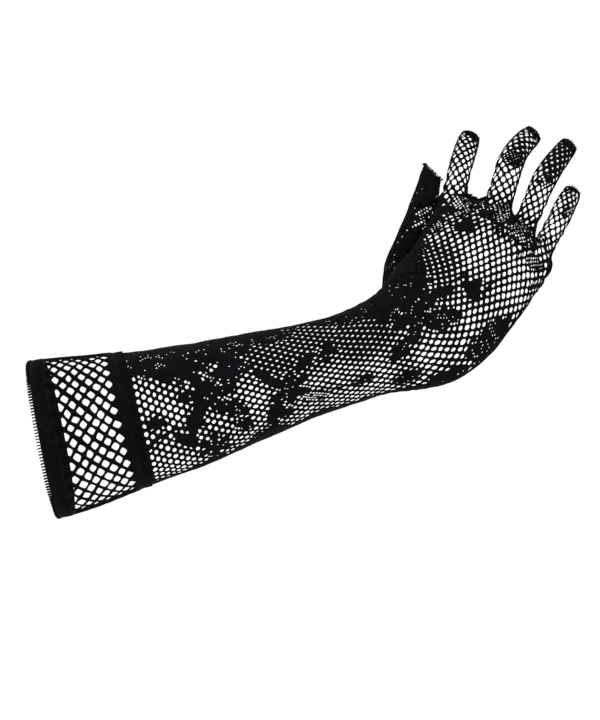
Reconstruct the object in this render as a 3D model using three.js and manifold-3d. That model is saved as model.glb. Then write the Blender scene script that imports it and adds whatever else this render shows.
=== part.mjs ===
// Long fishnet lace glove for the right hand, in millimetres.
// The origin is the centre of the arm opening. The back of the hand faces -Y and the palm faces +Y.
// The forearm runs along +X, rising a little, and the hand and its fingers turn up towards +Z.

import * as THREE from 'three';
import { mergeVertices } from 'three/addons/utils/BufferGeometryUtils.js';
import Module from 'manifold-3d';

const wasm = await Module();
wasm.setup();

// Walls and gaps
const LACE_WALL = 1.0;
const NET_WALL = 1.5;
const HEM_WALL = 1.7;
const EDGING_WALL = 2.4;
const EDGING_PROUD = 0.4;
const PIECE_GAP = 0.3;

// Lengths of the cuff's bands along the arm, and of the sleeve
const EDGING_LENGTH = 2.2;
const HEM_END = 9.2;
const NET_END = 50.5;
const JOINING_BAND_END = 58.5;
const SLEEVE_END = 222;

// Coarse net of the cuff: staggered rows of diamonds
const NET_HOLES_AROUND = 20;
const NET_ROWS = 6;
const NET_STRAND = 2.7;

// Smoothness of the lofts
const BODY_SIDES = 28;
const STALL_SIDES = 12;
const PATH_STEP = 1;
const SHORTEST_STRETCH = 1;

// Joining and cutting: points closer than the first are one point, and an inside runs past an open end
const WELD_DISTANCE = 1e-4;
const CUT_OVERRUN = 2;

// How square each tube's section is: 2 is an ellipse
const BODY_SQUARENESS = 2.3;
const STALL_SQUARENESS = 2.2;

// Where the body's centre line points: heading is the angle from +X towards +Z seen from the back of
// the hand, and flex the angle from that plane towards the palm.
const BODY_PATH = [
  { at: 0, heading: 11, flex: 7 },
  { at: 60, heading: 13, flex: 7 },
  { at: 100, heading: 16.5, flex: 7 },
  { at: 180, heading: 16.5, flex: 7 },
  { at: 210, heading: 16, flex: 7 },
  { at: 230, heading: 19, flex: 6 },
  { at: 250, heading: 32.5, flex: 5 },
  { at: 270, heading: 46, flex: 5 },
  { at: 295, heading: 58.5, flex: 6 },
  { at: 330, heading: 63.5, flex: 12 },
  { at: 345, heading: 64, flex: 14 },
];

// Sections of the body; shift moves one towards the thumb
const BODY_SECTIONS = [
  { at: 0, width: 98.6, thick: 85, shift: 0.3 },
  { at: 12, width: 97, thick: 83, shift: 0.3 },
  { at: 35, width: 91.3, thick: 78.5, shift: 0.6 },
  { at: 50, width: 87.2, thick: 75, shift: 1 },
  { at: 60, width: 83.6, thick: 72, shift: 0.9 },
  { at: 98, width: 76.2, thick: 65, shift: 0.7 },
  { at: 123, width: 69.9, thick: 58.5, shift: 0.8 },
  { at: 150, width: 63.8, thick: 51.5, shift: 0.9 },
  { at: 170, width: 59.8, thick: 46.5, shift: 0.9 },
  { at: 190, width: 58.4, thick: 43, shift: 0.7 },
  { at: 210, width: 60.6, thick: 40.5, shift: 1.8 },
  { at: 226, width: 66.6, thick: 39, shift: 2.6 },
  { at: 238, width: 75, thick: 38, shift: 3.4 },
  { at: 250, width: 80.5, thick: 37, shift: 3.2 },
  { at: 266, width: 83, thick: 34.5, shift: 3.8 },
  { at: 284, width: 82.3, thick: 31, shift: 4.2 },
  { at: 302, width: 83, thick: 29, shift: 3.6 },
  { at: 318, width: 84, thick: 27, shift: 3.2 },
  { at: 329, width: 82, thick: 24, shift: 3.7 },
  { at: 337, width: 66, thick: 18, shift: 12 },
  { at: 342, width: 46, thick: 10, shift: 13 },
];
const BODY_END = 342;

// The stalls of the five digits. Each base is placed from the body's path: its station along it,
// across towards the thumb and deep towards the palm. Rows go from the root inside the hand to the
// tip. A stall's own piece starts at its cut, and its closed end is turned by tipSlant.
const STALLS = [
  {
    name: 'index',
    tipSlant: 0,
    base: { station: 336, across: 35.9, deep: 2 },
    cut: 6,
    rows: [
      { at: -18, heading: 80, flex: 12, width: 24, thick: 20 },
      { at: 0, heading: 79.5, flex: 14, width: 18.2, thick: 18 },
      { at: 12, heading: 76.5, flex: 20, width: 16.8, thick: 17 },
      { at: 30, heading: 71.5, flex: 29, width: 16.4, thick: 16.5 },
      { at: 44, heading: 68, flex: 34, width: 15.8, thick: 15 },
      { at: 54, heading: 65, flex: 38, width: 14.4, thick: 11 },
      { at: 60.3, heading: 63.5, flex: 40, width: 11.6, thick: 5 },
    ],
  },
  {
    name: 'middle',
    tipSlant: 0,
    base: { station: 345.2, across: 8.6, deep: 0 },
    cut: 6,
    rows: [
      { at: -18, heading: 72, flex: 10, width: 25, thick: 21 },
      { at: 0, heading: 71.5, flex: 10, width: 20.5, thick: 19 },
      { at: 12, heading: 72, flex: 15, width: 18.8, thick: 18.3 },
      { at: 28, heading: 72, flex: 22, width: 18.5, thick: 18 },
      { at: 38, heading: 61, flex: 28, width: 17.8, thick: 17 },
      { at: 48, heading: 51, flex: 33, width: 17, thick: 16 },
      { at: 66, heading: 42, flex: 38, width: 15, thick: 11.5 },
      { at: 73.6, heading: 40, flex: 40, width: 12, thick: 5 },
    ],
  },
  {
    name: 'ring',
    tipSlant: 0,
    base: { station: 343.5, across: -12.3, deep: 1 },
    cut: 3,
    rows: [
      { at: -18, heading: 62, flex: 8, width: 22, thick: 20 },
      { at: 0, heading: 65, flex: 6, width: 17.2, thick: 17.2 },
      { at: 28, heading: 66, flex: 12, width: 16.8, thick: 16.6 },
      { at: 38, heading: 58, flex: 17, width: 16.5, thick: 16 },
      { at: 48, heading: 51, flex: 21, width: 16, thick: 15 },
      { at: 62, heading: 49.5, flex: 23, width: 14.5, thick: 11 },
      { at: 69.9, heading: 49.5, flex: 24, width: 11.6, thick: 5 },
    ],
  },
  {
    name: 'little',
    tipSlant: 0,
    base: { station: 332.2, across: -29.4, deep: 2.5 },
    cut: 8,
    rows: [
      { at: -18, heading: 58, flex: 8, width: 20, thick: 18 },
      { at: 0, heading: 61, flex: 6, width: 15.5, thick: 15.6 },
      { at: 22, heading: 60.5, flex: 12, width: 15.2, thick: 15 },
      { at: 36, heading: 60.5, flex: 18, width: 14.5, thick: 13.5 },
      { at: 45, heading: 61, flex: 21, width: 13.2, thick: 10 },
      { at: 51.5, heading: 61, flex: 22, width: 10.6, thick: 5 },
    ],
  },
  {
    name: 'thumb',
    tipSlant: 30,
    base: { station: 279, across: 46.4, deep: 16.5 },
    cut: 8,
    rows: [
      { at: -30, heading: 96, flex: 30, width: 25, thick: 20 },
      { at: -14, heading: 92, flex: 26, width: 22, thick: 19 },
      { at: -6, heading: 80, flex: 16, width: 20, thick: 19 },
      { at: 0, heading: 68, flex: 7, width: 18.8, thick: 18.6 },
      { at: 10, heading: 65, flex: 4, width: 18.4, thick: 18 },
      { at: 30, heading: 69, flex: 4, width: 18, thick: 17.6 },
      { at: 46, heading: 73, flex: 6, width: 17.6, thick: 13.5 },
      { at: 61, heading: 76, flex: 8, width: 16.6, thick: 5 },
    ],
  },
];

// Overlocked seam across each fingertip
const TIP_SEAM_THICK = 3.2;
const TIP_SEAM_HEIGHT = 2.4;
const TIP_SEAM_PROUD = 1;
const TIP_SEAM_ROUND = 0.9;
const TIP_SEAM_SIDES = 12;

// Value of one column of a table at a distance, straight between its rows
function valueAt(rows, column, at) {
  const last = rows[rows.length - 1];
  if (at <= rows[0].at) return rows[0][column];
  if (at >= last.at) return last[column];
  const next = rows.findIndex((row) => row.at > at);
  const before = rows[next - 1];
  const share = (at - before.at) / (rows[next].at - before.at);
  return before[column] + share * (rows[next][column] - before[column]);
}

// Directions of a tube's section: along it, across it towards the thumb, and deep towards the palm
function directions(heading, flex) {
  const h = THREE.MathUtils.degToRad(heading);
  const f = THREE.MathUtils.degToRad(flex);
  const along = new THREE.Vector3(Math.cos(h) * Math.cos(f), Math.sin(f), Math.sin(h) * Math.cos(f));
  const across = new THREE.Vector3(-Math.sin(h), 0, Math.cos(h));
  const deep = new THREE.Vector3().crossVectors(across, along);
  return { along, across, deep };
}

// Walks a path table from the point where at is 0, and returns the section frame at any distance
function tracePath(rows, zeroPoint) {
  const walk = (from, to) => {
    const point = zeroPoint.clone();
    const steps = Math.max(1, Math.ceil(Math.abs(to - from) / PATH_STEP));
    const step = (to - from) / steps;
    for (let i = 0; i < steps; i += 1) {
      const middle = from + (i + 0.5) * step;
      const { along } = directions(valueAt(rows, 'heading', middle), valueAt(rows, 'flex', middle));
      point.addScaledVector(along, step);
    }
    return point;
  };
  return (at) => ({
    centre: walk(0, at),
    ...directions(valueAt(rows, 'heading', at), valueAt(rows, 'flex', at)),
  });
}

// Point of a section, a superellipse, at an angle from the thumb side by way of the palm
function sectionPoint(frame, size, angle, squareness) {
  const bend = (value) => Math.sign(value) * Math.abs(value) ** (2 / squareness);
  return frame.centre
    .clone()
    .addScaledVector(frame.across, (size.width / 2) * bend(Math.cos(angle)))
    .addScaledVector(frame.deep, (size.thick / 2) * bend(Math.sin(angle)));
}

function sectionRing(frame, size, sides, squareness) {
  return Array.from({ length: sides }, (_, i) => (
    sectionPoint(frame, size, (2 * Math.PI * i) / sides, squareness)
  ));
}

function geometryFrom(points, faces) {
  const geometry = new THREE.BufferGeometry();
  const positions = points.flatMap((point) => point.toArray());
  geometry.setAttribute('position', new THREE.Float32BufferAttribute(positions, 3));
  geometry.setIndex(faces);
  return geometry;
}

// Two triangles between neighbouring rings, for every side
function joinRings(faces, sides, first, second) {
  for (let i = 0; i < sides; i += 1) {
    const j = (i + 1) % sides;
    faces.push(first + i, second + i, second + j, first + i, second + j, first + j);
  }
}

// Rings joined one after another, from the last back to the first: a tube's outside and inside
function ringLoft(rings) {
  const sides = rings[0].length;
  const faces = [];
  rings.forEach((_, r) => joinRings(faces, sides, r * sides, ((r + 1) % rings.length) * sides));
  return geometryFrom(rings.flat(), faces);
}

// Rings joined one after another, with a flat cap at each end
function cappedLoft(rings) {
  const sides = rings[0].length;
  const points = rings.flat();
  const faces = [];
  for (let r = 0; r < rings.length - 1; r += 1) joinRings(faces, sides, r * sides, (r + 1) * sides);
  const lastRing = (rings.length - 1) * sides;
  for (let i = 1; i < sides - 1; i += 1) {
    faces.push(0, i, i + 1);
    faces.push(lastRing, lastRing + i + 1, lastRing + i);
  }
  return geometryFrom(points, faces);
}

function toManifold(geometry) {
  const merged = mergeVertices(geometry, WELD_DISTANCE);
  return new wasm.Manifold(new wasm.Mesh({
    numProp: 3,
    vertProperties: new Float32Array(merged.attributes.position.array),
    triVerts: new Uint32Array(merged.index.array),
  }));
}

function toGeometry(manifold) {
  const mesh = manifold.getMesh();
  const geometry = new THREE.BufferGeometry();
  geometry.setAttribute('position', new THREE.Float32BufferAttribute(mesh.vertProperties, 3));
  geometry.setIndex(Array.from(mesh.triVerts));
  return geometry;
}

// Ends of a stretch and every table row between them
function stationsBetween(rows, from, to) {
  const inside = (at) => at > from + SHORTEST_STRETCH && at < to - SHORTEST_STRETCH;
  const inner = rows.map((row) => row.at).filter(inside);
  return [from, ...inner, to];
}

// The body: one tube from the arm opening to the knuckles
const bodyPath = tracePath(BODY_PATH, new THREE.Vector3());

function bodyFrame(at) {
  const frame = bodyPath(at);
  frame.centre.addScaledVector(frame.across, valueAt(BODY_SECTIONS, 'shift', at));
  return frame;
}

function bodySize(at, inset) {
  return {
    width: valueAt(BODY_SECTIONS, 'width', at) - 2 * inset,
    thick: valueAt(BODY_SECTIONS, 'thick', at) - 2 * inset,
  };
}

function bodyRings(from, to, inset) {
  return stationsBetween(BODY_SECTIONS, from, to).map((at) => (
    sectionRing(bodyFrame(at), bodySize(at, inset), BODY_SIDES, BODY_SQUARENESS)
  ));
}

function bodyTube(from, to, wall, proud = 0) {
  return ringLoft([...bodyRings(from, to, -proud), ...bodyRings(from, to, wall - proud).reverse()]);
}

// The stalls: each path starts at its base
function stallPath(stall) {
  const knuckle = bodyPath(stall.base.station);
  const base = knuckle.centre
    .clone()
    .addScaledVector(knuckle.across, stall.base.across)
    .addScaledVector(knuckle.deep, stall.base.deep);
  return tracePath(stall.rows, base);
}

const tipOf = (stall) => stall.rows[stall.rows.length - 1].at;

// Turns a section in its own plane of width and length, more and more over the stall's outer half
function slanted(stall, frame, at) {
  const share = Math.max(0, (2 * at) / tipOf(stall) - 1);
  const turn = THREE.MathUtils.degToRad(stall.tipSlant) * Math.min(1, share);
  const across = frame.across.clone().multiplyScalar(Math.cos(turn));
  across.addScaledVector(frame.along, Math.sin(turn));
  return { ...frame, across };
}

function stallRings(stall, from, to, inset) {
  const path = stallPath(stall);
  return stationsBetween(stall.rows, from, to).map((at) => {
    const size = {
      width: valueAt(stall.rows, 'width', at) - 2 * inset,
      thick: valueAt(stall.rows, 'thick', at) - 2 * inset,
    };
    return sectionRing(slanted(stall, path(at), at), size, STALL_SIDES, STALL_SQUARENESS);
  });
}

// A stall beyond its cut: hollow, open at the hand and closed at the tip
function stallShell(stall) {
  const from = stall.cut + PIECE_GAP;
  const end = tipOf(stall);
  const outside = toManifold(cappedLoft(stallRings(stall, from, end, 0)));
  const hollow = stallRings(stall, from - CUT_OVERRUN, end - LACE_WALL, LACE_WALL);
  return toGeometry(outside.subtract(toManifold(cappedLoft(hollow))));
}

// The seam that closes a fingertip: a narrow crest over the flattened end
function tipSeam(stall) {
  const end = tipOf(stall);
  const frame = slanted(stall, stallPath(stall)(end), end);
  const outward = new THREE.Vector3().crossVectors(frame.deep, frame.across);
  const ring = (height, narrower) => {
    const centre = frame.centre.clone().addScaledVector(outward, PIECE_GAP + height);
    const size = {
      width: valueAt(stall.rows, 'width', end) + TIP_SEAM_PROUD - narrower,
      thick: TIP_SEAM_THICK - narrower,
    };
    return sectionRing({ ...frame, centre }, size, TIP_SEAM_SIDES, STALL_SQUARENESS);
  };
  return cappedLoft([
    ring(0, TIP_SEAM_ROUND),
    ring(TIP_SEAM_ROUND / 2, 0),
    ring(TIP_SEAM_HEIGHT - TIP_SEAM_ROUND / 2, 0),
    ring(TIP_SEAM_HEIGHT, TIP_SEAM_ROUND),
  ]);
}

// Coarse net: staggered diamonds fill the band, each a frame of four strands round a hole. A place
// is a row along the band and a column round it; neighbouring diamonds share their corners.
function netBand(from, to) {
  const columns = 2 * NET_HOLES_AROUND;
  const rowStep = (to - from) / (NET_ROWS + 1);
  const points = [];
  const faces = [];
  const known = new Map();

  const corner = (row, column, inset) => {
    const turned = (column + columns) % columns;
    const key = `${row.toFixed(3)} ${turned.toFixed(3)} ${inset}`;
    if (!known.has(key)) {
      const at = from + row * rowStep;
      const angle = (2 * Math.PI * turned) / columns;
      points.push(sectionPoint(bodyFrame(at), bodySize(at, inset), angle, BODY_SQUARENESS));
      known.set(key, points.length - 1);
    }
    return known.get(key);
  };
  // One flat patch of the wall: its places go round it as seen from outside
  const patch = (...places) => {
    const outside = places.map(([row, column]) => corner(row, column, 0));
    const inside = places.map(([row, column]) => corner(row, column, NET_WALL));
    for (let i = 1; i < places.length - 1; i += 1) {
      faces.push(outside[0], outside[i], outside[i + 1]);
      faces.push(inside[0], inside[i + 1], inside[i]);
    }
  };
  // The wall's thickness along one edge, with the wall on the left as seen from outside
  const edge = (start, end) => {
    const [a, b] = [corner(...start, 0), corner(...end, 0)];
    const [c, d] = [corner(...end, NET_WALL), corner(...start, NET_WALL)];
    faces.push(a, d, b, d, c, b);
  };

  for (let row = 0; row <= NET_ROWS + 1; row += 1) {
    const size = bodySize(from + row * rowStep, 0);
    const columnStep = (Math.PI * (size.width + size.thick)) / 2 / columns;
    const reach = (columnStep * rowStep) / Math.hypot(columnStep, rowStep);
    const open = 1 - NET_STRAND / 2 / reach;
    for (let column = row % 2; column < columns; column += 2) {
      const [low, high] = [[row - 1, column], [row + 1, column]];
      const [left, right] = [[row, column - 1], [row, column + 1]];
      if (row === 0) {
        patch(left, high, [row, column]);
        patch([row, column], high, right);
        edge(right, [row, column]);
        edge([row, column], left);
      } else if (row === NET_ROWS + 1) {
        patch(left, [row, column], low);
        patch(low, [row, column], right);
        edge(left, [row, column]);
        edge([row, column], right);
      } else {
        const ring = [low, left, high, right];
        const hole = [
          [row - open, column],
          [row, column - open],
          [row + open, column],
          [row, column + open],
        ];
        ring.forEach((place, i) => {
          const next = (i + 1) % ring.length;
          patch(ring[next], hole[next], hole[i], place);
          edge(hole[next], hole[i]);
        });
      }
    }
  }
  return geometryFrom(points, faces);
}

// The hand: the body from the wrist to the knuckles with the open roots of the five stalls
function handShell() {
  const from = SLEEVE_END + PIECE_GAP;
  const hollow = bodyRings(from - CUT_OVERRUN, BODY_END - LACE_WALL, LACE_WALL);
  let outside = toManifold(cappedLoft(bodyRings(from, BODY_END, 0)));
  let inside = toManifold(cappedLoft(hollow));
  for (const stall of STALLS) {
    const root = stall.rows[0].at;
    const rootHollow = stallRings(stall, root + LACE_WALL, stall.cut + CUT_OVERRUN, LACE_WALL);
    outside = outside.add(toManifold(cappedLoft(stallRings(stall, root, stall.cut, 0))));
    inside = inside.add(toManifold(cappedLoft(rootHollow)));
  }
  return toGeometry(outside.subtract(inside));
}

const lace = new THREE.MeshStandardMaterial({ color: 0x101114, roughness: 0.92, metalness: 0 });
const denseKnit = new THREE.MeshStandardMaterial({ color: 0x0c0d10, roughness: 0.95, metalness: 0 });
const overlockThread = new THREE.MeshStandardMaterial({ color: 0x15161a, roughness: 0.8, metalness: 0 });

const glove = new THREE.Group();

function addPiece(name, geometry, material) {
  const mesh = new THREE.Mesh(geometry, material);
  mesh.name = name;
  glove.add(mesh);
}

addPiece('cuff_edging', bodyTube(0, EDGING_LENGTH, EDGING_WALL, EDGING_PROUD), overlockThread);
addPiece('cuff_hem', bodyTube(EDGING_LENGTH + PIECE_GAP, HEM_END, HEM_WALL), denseKnit);
addPiece('cuff_net', netBand(HEM_END + PIECE_GAP, NET_END), lace);
addPiece('cuff_joining_band', bodyTube(NET_END + PIECE_GAP, JOINING_BAND_END, HEM_WALL), denseKnit);
addPiece('sleeve', bodyTube(JOINING_BAND_END + PIECE_GAP, SLEEVE_END, LACE_WALL), lace);
addPiece('hand', handShell(), lace);
for (const stall of STALLS) {
  const nodeName = stall.name === 'thumb' ? 'thumb' : `${stall.name}_finger`;
  addPiece(nodeName, stallShell(stall), lace);
  addPiece(`${stall.name}_tip_seam`, tipSeam(stall), overlockThread);
}

export default glove;
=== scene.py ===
"""The visible cloth of a long fishnet lace glove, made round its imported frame."""

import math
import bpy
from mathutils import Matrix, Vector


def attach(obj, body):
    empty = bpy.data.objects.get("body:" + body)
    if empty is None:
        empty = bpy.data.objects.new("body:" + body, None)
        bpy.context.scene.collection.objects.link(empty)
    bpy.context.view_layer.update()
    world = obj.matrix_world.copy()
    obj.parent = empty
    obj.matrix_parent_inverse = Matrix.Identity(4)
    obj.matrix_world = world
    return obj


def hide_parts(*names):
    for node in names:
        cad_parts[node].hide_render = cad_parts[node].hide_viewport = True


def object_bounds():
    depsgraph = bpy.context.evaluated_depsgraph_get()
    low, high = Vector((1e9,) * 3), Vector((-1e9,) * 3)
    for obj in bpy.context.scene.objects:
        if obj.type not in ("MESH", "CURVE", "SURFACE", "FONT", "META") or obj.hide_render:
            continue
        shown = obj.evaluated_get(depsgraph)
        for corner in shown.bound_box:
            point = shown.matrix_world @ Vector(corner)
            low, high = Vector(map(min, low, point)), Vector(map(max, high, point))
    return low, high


bl_info = {
    "name": "Long Fishnet Glove",
    "version": (1, 0, 0),
    "blender": (4, 5, 0),
    "location": "View3D > Sidebar > Glove",
    "description": "Knits the net, bands, edging and fingertip seams of a long lace glove",
    "category": "Object",
}

from functools import partial

import bmesh
import bpy
import numpy as np
from mathutils import Vector

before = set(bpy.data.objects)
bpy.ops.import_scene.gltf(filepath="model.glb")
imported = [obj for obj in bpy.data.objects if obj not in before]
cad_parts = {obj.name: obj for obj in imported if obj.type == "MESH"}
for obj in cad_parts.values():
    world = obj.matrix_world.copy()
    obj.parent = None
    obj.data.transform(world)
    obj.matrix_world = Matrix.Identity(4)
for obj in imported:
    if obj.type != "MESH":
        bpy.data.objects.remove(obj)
CAD_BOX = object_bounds()

# Lengths in this file are in millimetres, as the glove was measured, and MM turns them into metres.
MM = 0.001
BODY = "root"
BACK, PALM = -1, 1

# Distances along the glove at which the cuff's bands and the sleeve end
EDGING_LENGTH = 2.2
HEM_END = 9.2
NET_END = 50.5
JOINING_BAND_END = 58.5
SLEEVE_END = 222.0

BODY_SQUARENESS = 2.3
STALL_SQUARENESS = 2.2

# The lattice of the lace, counted in half steps. A cell is a diamond two half steps wide and long.
SLEEVE_COLUMNS = 50
THUMB_COLUMNS = 10
STALL_COLUMNS = 10
WRIST_ROW = 49
CROTCH_ROW = 87
FIRST_SLEEVE_ROW = -4
FIRST_STALL_ROW = -6
STALL_ROW = 3.3
KNIT_WIDTH = 2.45
KNIT_LENGTH = 3.3

# Stations between which the columns that belong to the thumb are drawn into the side join
THUMB_DRAWN = (150.0, 258.0)

# The closed tips: over what length the two faces come together, how far back the corners lie, and how
# near the faces come
TIP_CLOSING = 3.0
TIP_ROUNDING = 2.6
TIP_APART = 0.12

# Lattice of the coarse cuff net
COARSE_AROUND = 32
COARSE_ROWS = 10

# Where the camera stands, looking along +Y, and its lens
EYE = np.array([156.59, -722.46, 48.93])
LENS = 59.06


class Rows:
    """A short table of named columns, read straight or smoothly between its rows."""

    def __init__(self, names, rows):
        self.columns = dict(zip(names.split(), np.array(rows, float).T))

    def straight(self, name, at):
        return np.interp(at, self.columns["at"], self.columns[name])

    def smooth(self, name, at):
        x, y = self.columns["at"], self.columns[name]
        slope = np.gradient(y, x)
        at = np.clip(at, x[0], x[-1])
        i = np.clip(np.searchsorted(x, at, side="right") - 1, 0, len(x) - 2)
        step = x[i + 1] - x[i]
        t = (at - x[i]) / step
        rise = t * t * (3 - 2 * t)
        leave = t * (1 - t) ** 2 * step
        arrive = t * t * (t - 1) * step
        return y[i] + rise * (y[i + 1] - y[i]) + leave * slope[i] + arrive * slope[i + 1]


# Heading turns the centre line from +X towards +Z, and flex turns it towards the palm, in degrees.
BODY_PATH = Rows("at heading flex", [
    (0, 11, 7),
    (60, 13, 7),
    (100, 16.5, 7),
    (180, 16.5, 7),
    (210, 16, 7),
    (230, 19, 6),
    (250, 32.5, 5),
    (270, 46, 5),
    (295, 58.5, 6),
    (330, 63.5, 12),
    (345, 64, 14),
])

# Sections of the sleeve and hand; shift moves one towards the thumb
BODY_SECTIONS = Rows("at width thick shift", [
    (0, 98.6, 85, 0.3),
    (12, 97, 83, 0.3),
    (35, 91.3, 78.5, 0.6),
    (50, 87.2, 75, 1),
    (60, 83.6, 72, 0.9),
    (98, 76.2, 65, 0.7),
    (123, 69.9, 58.5, 0.8),
    (150, 63.8, 51.5, 0.9),
    (170, 59.8, 46.5, 0.9),
    (190, 58.4, 43, 0.7),
    (210, 60.6, 40.5, 1.8),
    (226, 66.6, 39, 2.6),
    (238, 75, 38, 3.4),
    (250, 80.5, 37, 3.2),
    (266, 83, 34.5, 3.8),
    (284, 82.3, 31, 4.2),
    (302, 83, 29, 3.6),
    (318, 84, 27, 3.2),
    (329, 82, 24, 3.7),
    (337, 66, 18, 12),
    (342, 46, 10, 13),
])

# The five stalls: where each starts on the body (station, across to the thumb, deep to the palm),
# the turn of its closed end, and its rows from the root to the tip.
STALL_NAMES = "at heading flex width thick"
STALLS = {
    "index": {
        "base": (336, 35.9, 2),
        "slant": 0,
        "rows": Rows(STALL_NAMES, [
            (-18, 80, 12, 24, 20),
            (0, 79.5, 14, 18.2, 18),
            (12, 76.5, 20, 16.8, 17),
            (30, 71.5, 29, 16.4, 16.5),
            (44, 68, 34, 15.8, 15),
            (54, 65, 38, 14.4, 11),
            (60.3, 63.5, 40, 11.6, 5),
        ]),
    },
    "middle": {
        "base": (345.2, 8.6, 0),
        "slant": 0,
        "rows": Rows(STALL_NAMES, [
            (-18, 72, 10, 25, 21),
            (0, 71.5, 10, 20.5, 19),
            (12, 72, 15, 18.8, 18.3),
            (28, 72, 22, 18.5, 18),
            (38, 61, 28, 17.8, 17),
            (48, 51, 33, 17, 16),
            (66, 42, 38, 15, 11.5),
            (73.6, 40, 40, 12, 5),
        ]),
    },
    "ring": {
        "base": (343.5, -12.3, 1),
        "slant": 0,
        "rows": Rows(STALL_NAMES, [
            (-18, 62, 8, 22, 20),
            (0, 65, 6, 17.2, 17.2),
            (28, 66, 12, 16.8, 16.6),
            (38, 58, 17, 16.5, 16),
            (48, 51, 21, 16, 15),
            (62, 49.5, 23, 14.5, 11),
            (69.9, 49.5, 24, 11.6, 5),
        ]),
    },
    "little": {
        "base": (332.2, -29.4, 2.5),
        "slant": 0,
        "rows": Rows(STALL_NAMES, [
            (-18, 58, 8, 20, 18),
            (0, 61, 6, 15.5, 15.6),
            (22, 60.5, 12, 15.2, 15),
            (36, 60.5, 18, 14.5, 13.5),
            (45, 61, 21, 13.2, 10),
            (51.5, 61, 22, 10.6, 5),
        ]),
    },
    "thumb": {
        "base": (279, 46.4, 16.5),
        "slant": 30,
        "rows": Rows(STALL_NAMES, [
            (-30, 96, 30, 25, 20),
            (-14, 92, 26, 22, 19),
            (-6, 80, 16, 20, 19),
            (0, 68, 7, 18.8, 18.6),
            (10, 65, 4, 18.4, 18),
            (30, 69, 4, 18, 17.6),
            (46, 73, 6, 17.6, 13.5),
            (61, 76, 8, 16.6, 5),
        ]),
    },
}
FINGERS = ("index", "middle", "ring", "little")

# Body station that each column of the lace reaches at the crotches of the fingers
KNUCKLES = Rows("at station", [
    (10, 330),
    (15, 336),
    (20, 341),
    (25, 345.2),
    (30, 345),
    (35, 343.5),
    (40, 339),
    (45, 332.2),
    (50, 326),
])


# Shape of the worn cloth

def smoothstep(low, high, value):
    t = np.clip((value - low) / (high - low), 0, 1)
    return t * t * (3 - 2 * t)


def bend(value, squareness):
    return np.sign(value) * np.abs(value) ** (2 / squareness)


def directions(heading, flex):
    """Along a tube, across it towards the thumb, and deep towards the palm."""
    h, f = np.radians(heading), np.radians(flex)
    along = np.stack([np.cos(h) * np.cos(f), np.sin(f), np.sin(h) * np.cos(f)], -1)
    across = np.stack([-np.sin(h), np.zeros_like(h), np.cos(h)], -1)
    return along, across, np.cross(across, along)


def directions_on(path, at):
    return directions(path.straight("heading", at), path.straight("flex", at))


# A grid is read up to just short of its last line.
GRID_EDGE = 0.001


def between(grid, a, b):
    """The value of a grid between four of its places."""
    i, j = a.astype(int), b.astype(int)
    a, b = a - i, b - j
    if grid.ndim > 2:
        a, b = a[:, None], b[:, None]
    near = grid[i, j] * (1 - b) + grid[i, j + 1] * b
    far = grid[i + 1, j] * (1 - b) + grid[i + 1, j + 1] * b
    return near * (1 - a) + far * a


class EvenArc:
    """Angles round half a superellipse that cut its outline into even lengths."""

    # Ratios of thickness to width that the table spans and how many it holds, how many even lengths the
    # outline is cut into, and how many angles it is measured at
    FLATTEST, ROUNDEST, SHAPES, PLACES, ANGLES = 0.04, 1.2, 24, 129, 721

    def __init__(self, squareness):
        self.ratios = np.linspace(self.FLATTEST, self.ROUNDEST, self.SHAPES)
        self.shares = np.linspace(0, 1, self.PLACES)
        theta = np.linspace(0, np.pi, self.ANGLES)
        x, y = bend(np.cos(theta), squareness), bend(np.sin(theta), squareness)
        rows = []
        for ratio in self.ratios:
            length = np.concatenate([[0], np.cumsum(np.hypot(np.diff(x), ratio * np.diff(y)))])
            rows.append(np.interp(self.shares, length / length[-1], theta))
        self.angles = np.array(rows)

    def angle(self, share, ratio):
        shape = (ratio - self.FLATTEST) / (self.ratios[1] - self.FLATTEST)
        shape = np.clip(shape, 0, self.SHAPES - 1 - GRID_EDGE)
        place = np.clip(share, 0, 1) * (self.PLACES - 1 - GRID_EDGE)
        return between(self.angles, shape, place)


# Values that keep a sum from being divided by nothing, and the share of a section that is its middle
TINY = 1e-9
SMALL = 1e-6
TUBE_MIDDLE = 0.05


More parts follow.
